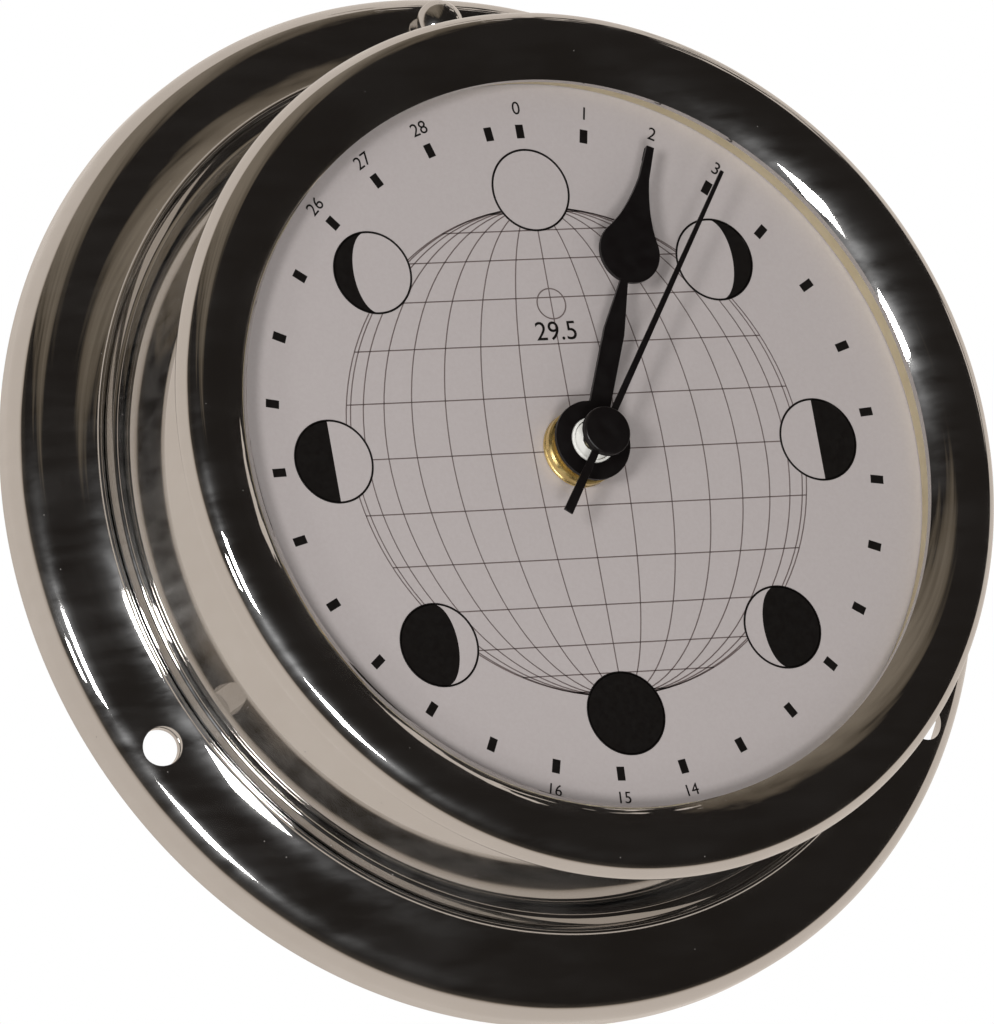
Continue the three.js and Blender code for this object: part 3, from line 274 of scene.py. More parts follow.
def worn(material, grain, low, high):
    """Lets a finish's roughness vary between two values."""
    tree = material.node_tree
    feed(material, "Roughness", spread(tree, noise(tree, grain), low, high))


# %% [markdown]
# Chrome plating over spun and polished brass is a mirror, but not a perfect one: buffing leaves
# fine swirls that catch the lamps as a pale haze, and fine dust settles on it. The haze is a rough
# coat whose weight varies in streaks, and the dust is a few grey points where the metal is covered.


# %% Chrome
def dust(tree, scale, size):
    """1 on a few small specks, 0 elsewhere."""
    place = add(tree, "ShaderNodeTexCoord").outputs["Object"]
    cells = add(tree, "ShaderNodeTexVoronoi", {"Vector": place, "Scale": scale})
    speck = maths(tree, "LESS_THAN", cells.outputs["Distance"], size)
    tint = add(tree, "ShaderNodeSeparateXYZ", {0: cells.outputs["Color"]}).outputs[0]
    return maths(tree, "MULTIPLY", speck, maths(tree, "LESS_THAN", tint, 0.5))


CHROME = (0.60, 0.585, 0.565)
chrome = finish("chrome", CHROME, 0.04, metallic=1.0, Coat_Roughness=0.36, Coat_IOR=1.6)
tree = chrome.node_tree
specks = dust(tree, 330.0, 0.03)
feed(chrome, "Base Color", two_tone(tree, specks, CHROME, (0.13, 0.12, 0.11)))
polish = spread(tree, noise(tree, 60.0), 0.015, 0.06)
feed(chrome, "Roughness", maths(tree, "MAXIMUM", polish, maths(tree, "MULTIPLY", specks, 0.7)))
feed(chrome, "Metallic", maths(tree, "SUBTRACT", 1.0, specks))
fine_swirls = noise(tree, 260.0, 5.0, stretch=(0.35, 1.0, 1.6))
swirls = maths(tree, "MULTIPLY", noise(tree, 55.0, 4.0), fine_swirls)
feed(chrome, "Coat Weight", spread(tree, swirls, 0.15, 1.0, 0.17, 0.38))
raise_by(chrome, noise(tree, 90.0, 2.0), 0.00002, 0.15)

# %% Brass, steel and copper
brass = finish("brass", (0.82, 0.62, 0.24), 0.3, metallic=1.0)
tinted(brass, 300.0, (0.78, 0.58, 0.21), (0.88, 0.69, 0.31))
worn(brass, 900.0, 0.24, 0.34)

pale_brass = finish("pale_brass", (0.62, 0.55, 0.38), 0.3, metallic=1.0)
tinted(pale_brass, 250.0, (0.66, 0.58, 0.38), (0.80, 0.74, 0.55))
worn(pale_brass, 700.0, 0.28, 0.45)

steel = finish("bright_steel", (0.50, 0.51, 0.53), 0.35, metallic=1.0)
worn(steel, 800.0, 0.25, 0.5)
raise_by(steel, noise(steel.node_tree, 2500.0), 0.00002, 0.4)

copper = finish("enamelled_copper", (0.50, 0.20, 0.08), 0.3, metallic=1.0)
tree = copper.node_tree
turns = noise(tree, 400.0, 1.0, stretch=(0.2, 0.2, 12.0))
feed(copper, "Base Color", two_tone(tree, turns, (0.36, 0.13, 0.05), (0.66, 0.30, 0.13)))
raise_by(copper, turns, 0.00008)

# %% [markdown]
# The dial is a disc printed in matt white, which the photograph shows as a warm pale grey with the
# finest of grains. The hands are black satin paint, and the print is flat black ink.

# %% Dial, ink and hands
dial_white = finish("dial_white", (0.322, 0.290, 0.283), 0.6)
tinted(dial_white, 2200.0, (0.308, 0.276, 0.269), (0.343, 0.311, 0.305), 4.0)
raise_by(dial_white, noise(dial_white.node_tree, 4000.0), 0.00001, 0.3)

black_ink = finish("black_ink", (0.005, 0.004, 0.004), 0.5, Specular_IOR_Level=0.12)
tinted(black_ink, 1800.0, (0.004, 0.003, 0.003), (0.007, 0.006, 0.005))
worn(black_ink, 900.0, 0.42, 0.6)

line_ink = finish("line_ink", (0.10, 0.075, 0.070), 0.6)
tinted(line_ink, 1500.0, (0.075, 0.055, 0.052), (0.13, 0.10, 0.095))

black_satin = finish("black_satin", (0.004, 0.003, 0.003), 0.35, Specular_IOR_Level=0.25)
tinted(black_satin, 700.0, (0.003, 0.002, 0.002), (0.006, 0.005, 0.005))
worn(black_satin, 500.0, 0.28, 0.45)
raise_by(black_satin, noise(black_satin.node_tree, 3000.0), 0.00001, 0.3)


# %% [markdown]
# The plastics differ mostly in colour: moulded parts have a fine spark-eroded texture, so one
# function makes them all, with its own two tones and grain for each.


# %% Plastics, rubber, board and cell
def moulded(name, dark, light, roughness, grain):
    """Moulded plastic with a fine grain."""
    material = finish(name, light, roughness)
    tinted(material, 300.0, dark, light)
    worn(material, grain, roughness - 0.08, roughness + 0.08)
    raise_by(material, noise(material.node_tree, grain, 2.0), 0.00003, 0.5)
    return material


black_plastic = moulded("black_plastic", (0.016, 0.016, 0.017), (0.026, 0.026, 0.028), 0.5, 2500.0)
white_plastic = moulded("white_acetal", (0.66, 0.65, 0.61), (0.76, 0.75, 0.71), 0.35, 1500.0)
gear_plastic = moulded("natural_acetal", (0.60, 0.54, 0.38), (0.70, 0.64, 0.47), 0.4, 1500.0)
rubber = moulded("washer_rubber", (0.018, 0.018, 0.018), (0.030, 0.030, 0.030), 0.85, 1800.0)
board_green = moulded("board_green", (0.020, 0.085, 0.030), (0.035, 0.120, 0.045), 0.3, 600.0)
cell_sleeve = moulded("cell_sleeve", (0.040, 0.055, 0.080), (0.055, 0.072, 0.100), 0.25, 400.0)

slot_finishes = {
    "chrome": chrome,
    "spacer_brass": pale_brass,
    "dial_white": dial_white,
    "steel": steel,
    "rubber": rubber,
    "brass": brass,
    "black_plastic": black_plastic,
    "white_plastic": white_plastic,
    "gear_plastic": gear_plastic,
    "copper_wire": copper,
    "board": board_green,
    "cell_jacket": cell_sleeve,
    "black_paint": black_satin,
}
for subpart in frame["record"]["subparts"]:
    node = frame["nodes"][subpart["node"]]
    node.data.materials.clear()
    node.data.materials.append(slot_finishes[subpart["material_slot"]])

# %% [markdown]
# ## Turned pieces
#
# The case is spun and turned: every ring is one outline carried round the clock's axis. Blender has
# a Spin tool and a Screw modifier for this. Here the rings of points are written directly, because
# the outline is known as radius and height, and the number of steps can suit each piece. Heights
# are measured from the wall towards the viewer, as in the CAD.


# %% Outline and turning helpers
def arc(centre, radius, start, end, steps):
    """Points of an arc as (radius, height) pairs, with angles in degrees."""
    points = []
    for i in range(steps + 1):
        angle = math.radians(start + (end - start) * i / steps)
        points.append((centre[0] + radius * math.cos(angle), centre[1] + radius * math.sin(angle)))
    return points


def object_from(name, form, material, sharp=30):
    """An object from a bmesh, merged, with faces outwards and smooth except at sharp edges."""
    bmesh.ops.remove_doubles(form, verts=form.verts, dist=0.000002)
    bmesh.ops.recalc_face_normals(form, faces=form.faces)
    mesh = bpy.data.meshes.new(name)
    form.to_mesh(mesh)
    form.free()
    mesh.materials.append(material)
    mesh.shade_smooth()
    mesh.set_sharp_from_angle(angle=math.radians(sharp))
    thing = bpy.data.objects.new(name, mesh)
    bpy.context.scene.collection.objects.link(thing)
    return thing


def evaluated_mesh(thing):
    """The plain mesh that an object and its modifiers make."""
    bpy.context.view_layer.update()
    graph = bpy.context.evaluated_depsgraph_get()
    return bpy.data.meshes.new_from_object(thing.evaluated_get(graph))


def turned(name, outline, material, steps=360, place=(0, 0), sharp=30):
    """A closed outline of (radius, height) in mm, carried round an axis towards the viewer."""
    form = bmesh.new()
    rings = []
    for i in range(steps):
        angle = 2 * math.pi * i / steps
        side, rise = math.cos(angle), math.sin(angle)
        rings.append([
            form.verts.new((place[0] * MM + r * side * MM, -z * MM, place[1] * MM + r * rise * MM))
            for r, z in outline
        ])
    for i, ring in enumerate(rings):
        after = rings[(i + 1) % steps]
        for j in range(len(outline)):
            k = (j + 1) % len(outline)
            if outline[j][0] == 0 and outline[k][0] == 0:
                continue
            form.faces.new((ring[j], ring[k], after[k], after[j]))
    return object_from(name, form, material, sharp)


def dress(piece, body, slot, *nodes):
    """A piece rides on its body and stands for CAD nodes; the slot argument is not used."""
    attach(piece, body)
    if nodes:
        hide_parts(*nodes)
    piece.data.calc_loop_triangles()
    print(piece.name, "triangles:", len(piece.data.loop_triangles))
    return piece


# %% [markdown]
# ### Mounting ring
#
# The ring that goes on the wall is one spinning: a tight shoulder at the rim, a low crest, a flare
# that rises to a small bead, and a collar down to the seat that carries the drum. Each arc starts
# where the one before ends, in the same direction, because chrome shows every kink. Three screw
# holes are drilled through the crest. A Boolean cuts them, with a cutter that flares at the top,
# so the drilled edge has the small rounding that polishing leaves.

# %% Sizes of the ring
RING_RADIUS = 75.0
SHOULDER_CENTRE, SHOULDER_RADIUS = (70.0, 2.21), 5.0
FACE_RADIUS, FLARE_RADIUS = 30.0, 10.4
CREST, FLAT = 75.0, 80.5


def onward(centre, radius, next_radius, angle):
    """Centre of the arc that carries on from another one at an angle."""
    reach = radius - next_radius
    return (
        centre[0] + reach * math.cos(math.radians(angle)),
        centre[1] + reach * math.sin(math.radians(angle)),
    )


FACE_CENTRE = onward(SHOULDER_CENTRE, SHOULDER_RADIUS, FACE_RADIUS, CREST)
FLARE_CENTRE = onward(FACE_CENTRE, FACE_RADIUS, -FLARE_RADIUS, FLAT)
RING_WALL = 1.4
BEAD_CENTRE, BEAD_RADIUS, LEDGE = (63.85, 9.35), 0.45, 7.9
COLLAR_BORE, COLLAR_OUTER, COLLAR_TOP = 61.6, 62.75, 6.7
SEAT_BORE, SEAT_BOTTOM, SEAT_TOP = 54.5, 0.9, 2.1
HOLE_CIRCLE, HOLE_RADIUS, RING_TURN = 69.3, 2.7, 1.2


def ring_height(radius):
    """Height of the ring's flare above the wall, between its bead and its flattest place."""
    return FLARE_CENTRE[1] - math.sqrt(FLARE_RADIUS**2 - (radius - FLARE_CENTRE[0]) ** 2)


def clock_point(radius, angle):
    """x and y at an angle in degrees, clockwise from twelve."""
    return radius * math.sin(math.radians(angle)), radius * math.cos(math.radians(angle))


# %% Turn the ring and drill it
flare_reach = FLARE_CENTRE[0] - BEAD_CENTRE[0] - BEAD_RADIUS - 0.06
flare_end = 180 + math.degrees(math.acos(flare_reach / FLARE_RADIUS))
ring_outline = (
    [(RING_RADIUS, 0), (RING_RADIUS, SHOULDER_CENTRE[1])]
    + arc(SHOULDER_CENTRE, SHOULDER_RADIUS, 0, CREST, 36)[1:]
    + arc(FACE_CENTRE, FACE_RADIUS, CREST, FLAT, 6)[1:]
    + arc(FLARE_CENTRE, FLARE_RADIUS, 180 + FLAT, flare_end, 24)[1:]
    + arc(BEAD_CENTRE, BEAD_RADIUS, 0, 180, 16)
    + [(BEAD_CENTRE[0] - BEAD_RADIUS, LEDGE), (COLLAR_BORE, LEDGE), (COLLAR_BORE, SEAT_TOP)]
    + [(SEAT_BORE, SEAT_TOP), (SEAT_BORE, SEAT_BOTTOM)]
    + [(COLLAR_OUTER, SEAT_BOTTOM), (COLLAR_OUTER, COLLAR_TOP)]
    + arc(FLARE_CENTRE, FLARE_RADIUS + RING_WALL, 245, 180 + FLAT, 12)
    + arc(FACE_CENTRE, FACE_RADIUS - RING_WALL, FLAT, CREST, 4)[1:]
    + arc(SHOULDER_CENTRE, SHOULDER_RADIUS - RING_WALL, CREST, 0, 14)[1:]
    + [(RING_RADIUS - RING_WALL, 0)]
)
ring = turned("spun_mounting_ring", ring_outline, chrome)


def drilled(piece, cutters):
    """A piece with every cutter taken out of it."""
    for cutter in cutters:
        hole = piece.modifiers.new("hole", "BOOLEAN")
        hole.operation = "DIFFERENCE"
        hole.solver = "EXACT"
        hole.object = cutter
    mesh = evaluated_mesh(piece)
    piece.modifiers.clear()
    piece.data = mesh
    mesh.shade_smooth()
    mesh.set_sharp_from_angle(angle=math.radians(30))
    for cutter in cutters:
        bpy.data.objects.remove(cutter)
    return piece


HOLE_EDGE = 0.2
hole_top = ring_height(HOLE_CIRCLE)
cutters = []
for i in range(3):
    flare = arc((HOLE_RADIUS + HOLE_EDGE, hole_top - 0.25), HOLE_EDGE, 180, 120, 6)
    cutter_outline = [(0, -1), (HOLE_RADIUS, -1)] + flare
    cutter_outline += [(HOLE_RADIUS + 2 * HOLE_EDGE, hole_top + 4), (0, hole_top + 4)]
    place = clock_point(HOLE_CIRCLE, RING_TURN + 120 * i)
    cutters.append(turned(f"drill_{i + 1}", cutter_outline, chrome, steps=48, place=place))
drilled(ring, cutters)
dress(ring, "case", "chrome", "mounting_ring")

# %% [markdown]
# ### Drum, bezel and spacer
#
# The drum is the neck behind the bezel: a foot screwed to the ring's seat, a rim over the ring's
# ledge, and a slightly hollow wall that ends in a straight taper. The bezel stands on it with a
# rear flange, turns over in a tight round edge, and falls inwards in a broad slope to a thin lip.
# Under that lip a pale brass ring presses the dial down. The neck mirrors the ring below it, so
# its slope was chosen until the mirrored screw hole fell where the photograph shows it.

# %% Drum
COVE_CENTRE, COVE_RADIUS, COVE_START = (132.95, 28.74), 74.0, 14.6
FILLET_RADIUS = 0.8
FILLET_CENTRE = onward(COVE_CENTRE, COVE_RADIUS, FILLET_RADIUS, 180 + COVE_START)
FOOT_RADIUS, RIM_RADIUS, DRUM_WALL = 61.3, 63.05, 1.2
DRUM_BORE, DRUM_TOP, TAPER = 50.0, 27.9, 8.7


def neck_radius(height, wall=0.0):
    """Radius of the neck's straight taper at a height above the wall, or that of its inner side."""
    cove_side = COVE_CENTRE[0] - (COVE_RADIUS + wall) / math.cos(math.radians(TAPER))
    return cove_side - (height - COVE_CENTRE[1]) * math.tan(math.radians(TAPER))


FOOT_BOTTOM, FOOT_TOP, RIM_BOTTOM, RIM_TOP = 2.3, 3.5, LEDGE + 0.2, 9.5
inner_reach = COVE_CENTRE[0] - FOOT_RADIUS + DRUM_WALL
inner_bend = math.degrees(math.acos(inner_reach / (COVE_RADIUS + DRUM_WALL)))
drum_outline = (
    [(SEAT_BORE, FOOT_BOTTOM), (FOOT_RADIUS, FOOT_BOTTOM), (FOOT_RADIUS, RIM_BOTTOM)]
    + [(RIM_RADIUS, RIM_BOTTOM), (RIM_RADIUS, RIM_TOP - 0.15), (RIM_RADIUS - 0.15, RIM_TOP)]
    + arc(FILLET_CENTRE, FILLET_RADIUS, 262, 180 + COVE_START, 16)
    + arc(COVE_CENTRE, COVE_RADIUS, 180 + COVE_START, 180 + TAPER, 40)[1:]
    + [(neck_radius(DRUM_TOP), DRUM_TOP), (DRUM_BORE, DRUM_TOP), (DRUM_BORE, DRUM_TOP - DRUM_WALL)]
    + [(neck_radius(DRUM_TOP - DRUM_WALL, DRUM_WALL), DRUM_TOP - DRUM_WALL)]
    + arc(COVE_CENTRE, COVE_RADIUS + DRUM_WALL, 180 + TAPER, 180 + inner_bend, 10)
    + [(FOOT_RADIUS - DRUM_WALL, FOOT_TOP), (SEAT_BORE, FOOT_TOP)]
)
dress(turned("cove_drum", drum_outline, chrome), "case", "chrome", "case_drum")

# %% Bezel
EDGE_CENTRE, EDGE_RADIUS = (59.1, 32.3), 3.7
SLOPE_CENTRE, SLOPE_RADIUS = (59.1, 26.2), 9.8
LIP_RADIUS, BEZEL_BORE, BEZEL_WALL = 52.7, 55.7, 1.2
sweep = math.degrees(math.asin((SLOPE_CENTRE[0] - LIP_RADIUS) / SLOPE_RADIUS))
lip_top = SLOPE_CENTRE[1] + SLOPE_RADIUS * math.cos(math.radians(sweep))
FLANGE = 28.1
bezel_outline = (
    [(BEZEL_BORE, FLANGE), (EDGE_CENTRE[0], FLANGE), (EDGE_CENTRE[0], EDGE_CENTRE[1] - EDGE_RADIUS)]
    + arc(EDGE_CENTRE, EDGE_RADIUS, -4, 90, 60)
    + arc(SLOPE_CENTRE, SLOPE_RADIUS, 90, 90 + sweep, 40)[1:]
    + arc((LIP_RADIUS + 0.25, lip_top - BEZEL_WALL + 0.25), 0.25, 180, 270, 5)
    + arc(SLOPE_CENTRE, SLOPE_RADIUS - BEZEL_WALL, 90 + sweep * 0.85, 90, 16)
    + arc(EDGE_CENTRE, EDGE_RADIUS - BEZEL_WALL, 88, -90, 24)
    + [(BEZEL_BORE, EDGE_CENTRE[1] - EDGE_RADIUS + BEZEL_WALL)]
)
dress(turned("spun_bezel", bezel_outline, chrome), "case", "chrome", "bezel_ring")
print("lip is", round(lip_top, 2), "mm above the wall")
print("neck meets the bezel at radius", round(neck_radius(DRUM_TOP), 2))

# %% Spacer ring and dial
spacer_outline = [(53.6, 29.1), (55.2, 29.1), (55.2, lip_top - 1.4)]
spacer_outline += arc((53.85, lip_top - 1.65), 0.25, 90, 180, 5)
dress(turned("spacer_band", spacer_outline, pale_brass), "case", "spacer_brass", "spacer_ring")

DIAL_FACE = 28.9
dial_outline = [(4.07, 28.1), (55.4, 28.1), (55.4, 28.85), (55.35, DIAL_FACE), (4.07, DIAL_FACE)]
dress(turned("printed_dial", dial_outline, dial_white), "case", "dial_white", "dial_plate")

# %% Domed screw at twelve
SCREW_RADIUS, SCREW_DOME = 3.5, 2.3
screw_seat = ring_height(HOLE_CIRCLE - SCREW_RADIUS) + 0.2
dome_radius = (SCREW_RADIUS**2 + SCREW_DOME**2) / (2 * SCREW_DOME)
dome_centre = (0, screw_seat + 0.8 + SCREW_DOME - dome_radius)
rim = math.degrees(math.acos(SCREW_RADIUS / dome_radius))
screw_outline = (
    [(0, 0.2), (2.1, 0.2), (2.1, screw_seat), (SCREW_RADIUS - 0.1, screw_seat)]
    + [(SCREW_RADIUS, screw_seat + 0.1)]
    + arc(dome_centre, dome_radius, rim, 90, 24)
)
screw = turned("domed_screw", screw_outline, chrome, 96, clock_point(HOLE_CIRCLE, RING_TURN))
dress(screw, "case", "chrome", "top_mounting_screw")

# %% [markdown]
# ## Print on the dial
#
# The print is flat ink. An image would do for one view, but real geometry stays sharp from any
# distance, so each mark is a film a few hundredths of a millimetre thick, standing on the dial.
# The films are drawn flat, x to the right and y up, and laid on the dial's face at the end.
#
# The marks and the lines of the globe repeat by a rule, so Geometry Nodes make them: one tree for
# the thirty day marks, one for the globe, one for the eight moon discs.


# %% Helpers for Geometry Nodes
def plan(name, sockets):
    """A Geometry Nodes tree with named inputs, and the dictionary of their outputs inside it."""
    tree = bpy.data.node_groups.new(name, "GeometryNodeTree")
    for label, kind in sockets.items():
        tree.interface.new_socket(name=label, in_out="INPUT", socket_type="NodeSocket" + kind)
    tree.interface.new_socket(name="Geometry", in_out="OUTPUT", socket_type="NodeSocketGeometry")
    return tree, add(tree, "NodeGroupInput").outputs


def hand_over(tree, geometry, material):
    """Ends a tree: real geometry, its material, and the group's output."""
    real = add(tree, "GeometryNodeRealizeInstances", {0: geometry})
    coloured = add(tree, "GeometryNodeSetMaterial", {0: real.outputs[0], "Material": material})
    add(tree, "NodeGroupOutput", {0: coloured.outputs[0]})


def grown(name, tree, values, raised):
    """A plain mesh object from a tree and the values of its inputs, laid on the dial."""
    holder = bpy.data.objects.new(name + "_holder", bpy.data.meshes.new(name + "_holder"))
    bpy.context.scene.collection.objects.link(holder)
    maker = holder.modifiers.new("maker", "NODES")
    maker.node_group = tree
    for item in tree.interface.items_tree:
        if item.in_out == "INPUT":
            maker[item.identifier] = values[item.name]
    mesh = evaluated_mesh(holder)
    bpy.data.objects.remove(holder)
    return laid_on_dial(name, mesh, raised)


def laid_on_dial(name, mesh, raised):
    """A flat drawing in mm turned to face the viewer, raised by so much above the dial."""
    to_dial = Matrix.Translation((0, -(DIAL_FACE + raised) * MM, 0))
    mesh.transform(to_dial @ Matrix.Rotation(math.pi / 2, 4, "X") @ Matrix.Scale(MM, 4))
    mesh.name = name
    thing = bpy.data.objects.new(name, mesh)
    bpy.context.scene.collection.objects.link(thing)
    return thing


INK = 0.02
DAYS = 29.5

# %% [markdown]
# ### Day marks
#
# A moon month is 29.5 days, so thirty marks stand 360/29.5 degrees apart and the last one falls
# half a step short of the first. The tree puts a point at each mark by its index and stands a thin
# block on it, turned to point at the middle.

# %% Day marks
tree, given = plan("day marks", {
    "Marks": "Int", "Days in a month": "Float", "Circle radius": "Float",
    "Mark": "Vector", "Ink": "Material",
})
index = add(tree, "GeometryNodeInputIndex").outputs[0]
angle = maths(tree, "DIVIDE", maths(tree, "MULTIPLY", index, 2 * math.pi), given["Days in a month"])
across = maths(tree, "MULTIPLY", maths(tree, "SINE", angle), given["Circle radius"])
upward = maths(tree, "MULTIPLY", maths(tree, "COSINE", angle), given["Circle radius"])
place = add(tree, "ShaderNodeCombineXYZ", {0: across, 1: upward}).outputs[0]
points = add(tree, "GeometryNodePoints", {"Count": given["Marks"], "Position": place})
spin = add(tree, "ShaderNodeCombineXYZ", {2: maths(tree, "MULTIPLY", angle, -1.0)}).outputs[0]
block = add(tree, "GeometryNodeMeshCube", {"Size": given["Mark"]})
stood = add(tree, "GeometryNodeInstanceOnPoints", {
    "Points": points.outputs[0], "Instance": block.outputs[0], "Rotation": spin,
})
hand_over(tree, stood.outputs[0], given["Ink"])
marks = grown("day_marks", tree, {
    "Marks": 30, "Days in a month": DAYS, "Circle radius": 46.67,
    "Mark": (1.2, 2.0, INK), "Ink": black_ink,
}, INK / 2)
dress(marks, "case", "black_paint")

# %% [markdown]
# ### Globe
#
# The globe is a sphere seen straight on: parallels become level lines, and meridians become halves
# of ellipses that crowd towards the sides. The tree lays seventeen lines side by side, reads from
# each point which line it is on and how far along, and moves it to its place on the sphere.

# %% Globe lines
tree, given = plan("globe lines", {
    "Globe radius": "Float", "Meridians each side": "Int", "Parallels each side": "Int",
    "Meridian step": "Float", "Parallel step": "Float", "Line width": "Float", "Ink": "Material",
})
radius = given["Globe radius"]


def fan(each_side, step, latitude_first):
    """Lines over the sphere: how many on each side, their angle step, and which way they run."""
    count = maths(tree, "ADD", maths(tree, "MULTIPLY", each_side, 2.0), 1.0)
    number = add(tree, "GeometryNodeInputIndex").outputs[0]
    from_middle = maths(tree, "SUBTRACT", number, each_side)
    aside = add(tree, "ShaderNodeCombineXYZ", {0: from_middle}).outputs[0]
    starts = add(tree, "GeometryNodePoints", {"Count": count, "Position": aside})
    line = add(tree, "GeometryNodeCurvePrimitiveLine", {"Start": (0, -1, 0), "End": (0, 1, 0)})
    fine = add(tree, "GeometryNodeResampleCurve", {"Curve": line.outputs[0], "Count": 61})
    sockets = {"Points": starts.outputs[0], "Instance": fine.outputs[0]}
    row = add(tree, "GeometryNodeInstanceOnPoints", sockets)
    lines = add(tree, "GeometryNodeRealizeInstances", {0: row.outputs[0]})
    position = add(tree, "GeometryNodeInputPosition").outputs[0]
    spot = add(tree, "ShaderNodeSeparateXYZ", {0: position}).outputs
    turned_by = maths(tree, "MULTIPLY", spot[0], step)
    along = maths(tree, "MULTIPLY", spot[1], math.pi / 2)
    latitude, longitude = (turned_by, along) if latitude_first else (along, turned_by)
    span = maths(tree, "MULTIPLY", maths(tree, "COSINE", latitude), radius)
    x = maths(tree, "MULTIPLY", maths(tree, "SINE", longitude), span)
    y = maths(tree, "MULTIPLY", maths(tree, "SINE", latitude), radius)
    on_globe = add(tree, "ShaderNodeCombineXYZ", {0: x, 1: y}).outputs[0]
    sockets = {"Geometry": lines.outputs[0], "Position": on_globe}
    bent = add(tree, "GeometryNodeSetPosition", sockets)
    level = add(tree, "GeometryNodeSetCurveNormal", {"Curve": bent.outputs[0]}, mode="Z_UP")
    sockets = {"Width": given["Line width"], "Height": INK}
    section = add(tree, "GeometryNodeCurvePrimitiveQuadrilateral", sockets)
    return add(tree, "GeometryNodeCurveToMesh", {
        "Curve": level.outputs[0], "Profile Curve": section.outputs[0], "Fill Caps": True,
    }).outputs[0]


both = add(tree, "GeometryNodeJoinGeometry")
tree.links.new(fan(given["Meridians each side"], given["Meridian step"], False), both.inputs[0])
tree.links.new(fan(given["Parallels each side"], given["Parallel step"], True), both.inputs[0])
hand_over(tree, both.outputs[0], given["Ink"])
globe = grown("globe_lines", tree, {
    "Globe radius": 35.5, "Meridians each side": 8, "Parallels each side": 6,
    "Meridian step": math.radians(11.25), "Parallel step": math.radians(13.0),
    "Line width": 0.17, "Ink": line_ink,
}, INK / 2)
dress(globe, "case", "black_paint")

# %% [markdown]
# ### Moon discs
#
# Eight discs show the month, from full at the top to new at the foot. Each is a paper-white disc
# over the globe's lines with a thin black ring round it: two shapes on the same eight points.

# %% Moon discs
DISC_CIRCLE, DISC_RADIUS, DISC_LINE = 38.05, 6.05, 0.3


def disc_points(tree, count, circle):
    """Points on a circle, the first at twelve."""
    index = add(tree, "GeometryNodeInputIndex").outputs[0]
    angle = maths(tree, "DIVIDE", maths(tree, "MULTIPLY", index, 2 * math.pi), count)
    across = maths(tree, "MULTIPLY", maths(tree, "SINE", angle), circle)
    upward = maths(tree, "MULTIPLY", maths(tree, "COSINE", angle), circle)
    place = add(tree, "ShaderNodeCombineXYZ", {0: across, 1: upward}).outputs[0]
    return add(tree, "GeometryNodePoints", {"Count": count, "Position": place}).outputs[0]


tree, given = plan("moon papers", {
    "Discs": "Int", "Circle": "Float", "Radius": "Float", "Paper": "Material",
})
sockets = {"Vertices": 96, "Radius": given["Radius"], "Depth": INK}
sheet = add(tree, "GeometryNodeMeshCylinder", sockets)
spots = disc_points(tree, given["Discs"], given["Circle"])
papers = add(tree, "GeometryNodeInstanceOnPoints", {"Points": spots, "Instance": sheet.outputs[0]})
hand_over(tree, papers.outputs[0], given["Paper"])
papers = grown("moon_papers", tree, {
    "Discs": 8, "Circle": DISC_CIRCLE, "Radius": DISC_RADIUS - DISC_LINE / 2, "Paper": dial_white,
}, INK * 1.5)
dress(papers, "case", "dial_white")

tree, given = plan("moon outlines", {
    "Discs": "Int", "Circle": "Float", "Radius": "Float", "Line": "Float", "Ink": "Material",
})
middle = maths(tree, "SUBTRACT", given["Radius"], maths(tree, "MULTIPLY", given["Line"], 0.5))
loop = add(tree, "GeometryNodeCurvePrimitiveCircle", {"Resolution": 96, "Radius": middle})
sockets = {"Width": given["Line"], "Height": INK}
section = add(tree, "GeometryNodeCurvePrimitiveQuadrilateral", sockets)
loop_up = add(tree, "GeometryNodeSetCurveNormal", {"Curve": loop.outputs[0]}, mode="Z_UP")
sockets = {"Curve": loop_up.outputs[0], "Profile Curve": section.outputs[0]}
band = add(tree, "GeometryNodeCurveToMesh", sockets)
spots = disc_points(tree, given["Discs"], given["Circle"])
bands = add(tree, "GeometryNodeInstanceOnPoints", {"Points": spots, "Instance": band.outputs[0]})
hand_over(tree, bands.outputs[0], given["Ink"])
outlines = grown("moon_outlines", tree, {
    "Discs": 8, "Circle": DISC_CIRCLE, "Radius": DISC_RADIUS, "Line": DISC_LINE, "Ink": black_ink,
}, INK * 2.5)
dress(outlines, "case", "black_paint")

# %% [markdown]
# ### Dark part of each moon
#
# The edge between light and dark on a moon is half an ellipse. Each shape lies between two such
# curves, given as shares of the disc's half width at every height: -1 is the left edge of the disc
# and 1 its right edge. Seven short lists of points are simplest in mesh code.


# %% Moon shades
def film(form, points, thickness):
    """A flat closed film from points in order, added to a bmesh."""
    bottom = [form.verts.new((x, y, -thickness / 2)) for x, y in points]
    top = [form.verts.new((x, y, thickness / 2)) for x, y in points]
    form.faces.new(bottom[::-1])
    form.faces.new(top)
    for i in range(len(points)):
        j = (i + 1) % len(points)
        form.faces.new((bottom[i], bottom[j], top[j], top[i]))


def moon_shade(centre, left, right):
    """Points of the dark part between two shares of the half width."""
    steps, radius = 48, DISC_RADIUS - DISC_LINE * 0.6
    heights = [math.pi * i / steps - math.pi / 2 for i in range(steps + 1)]
    sides = []
    for share in (right, left):
        width = radius * share
        sides.append([
            (centre[0] + width * math.cos(h), centre[1] + radius * math.sin(h)) for h in heights
        ])
    return sides[0] + sides[1][::-1][1:-1]


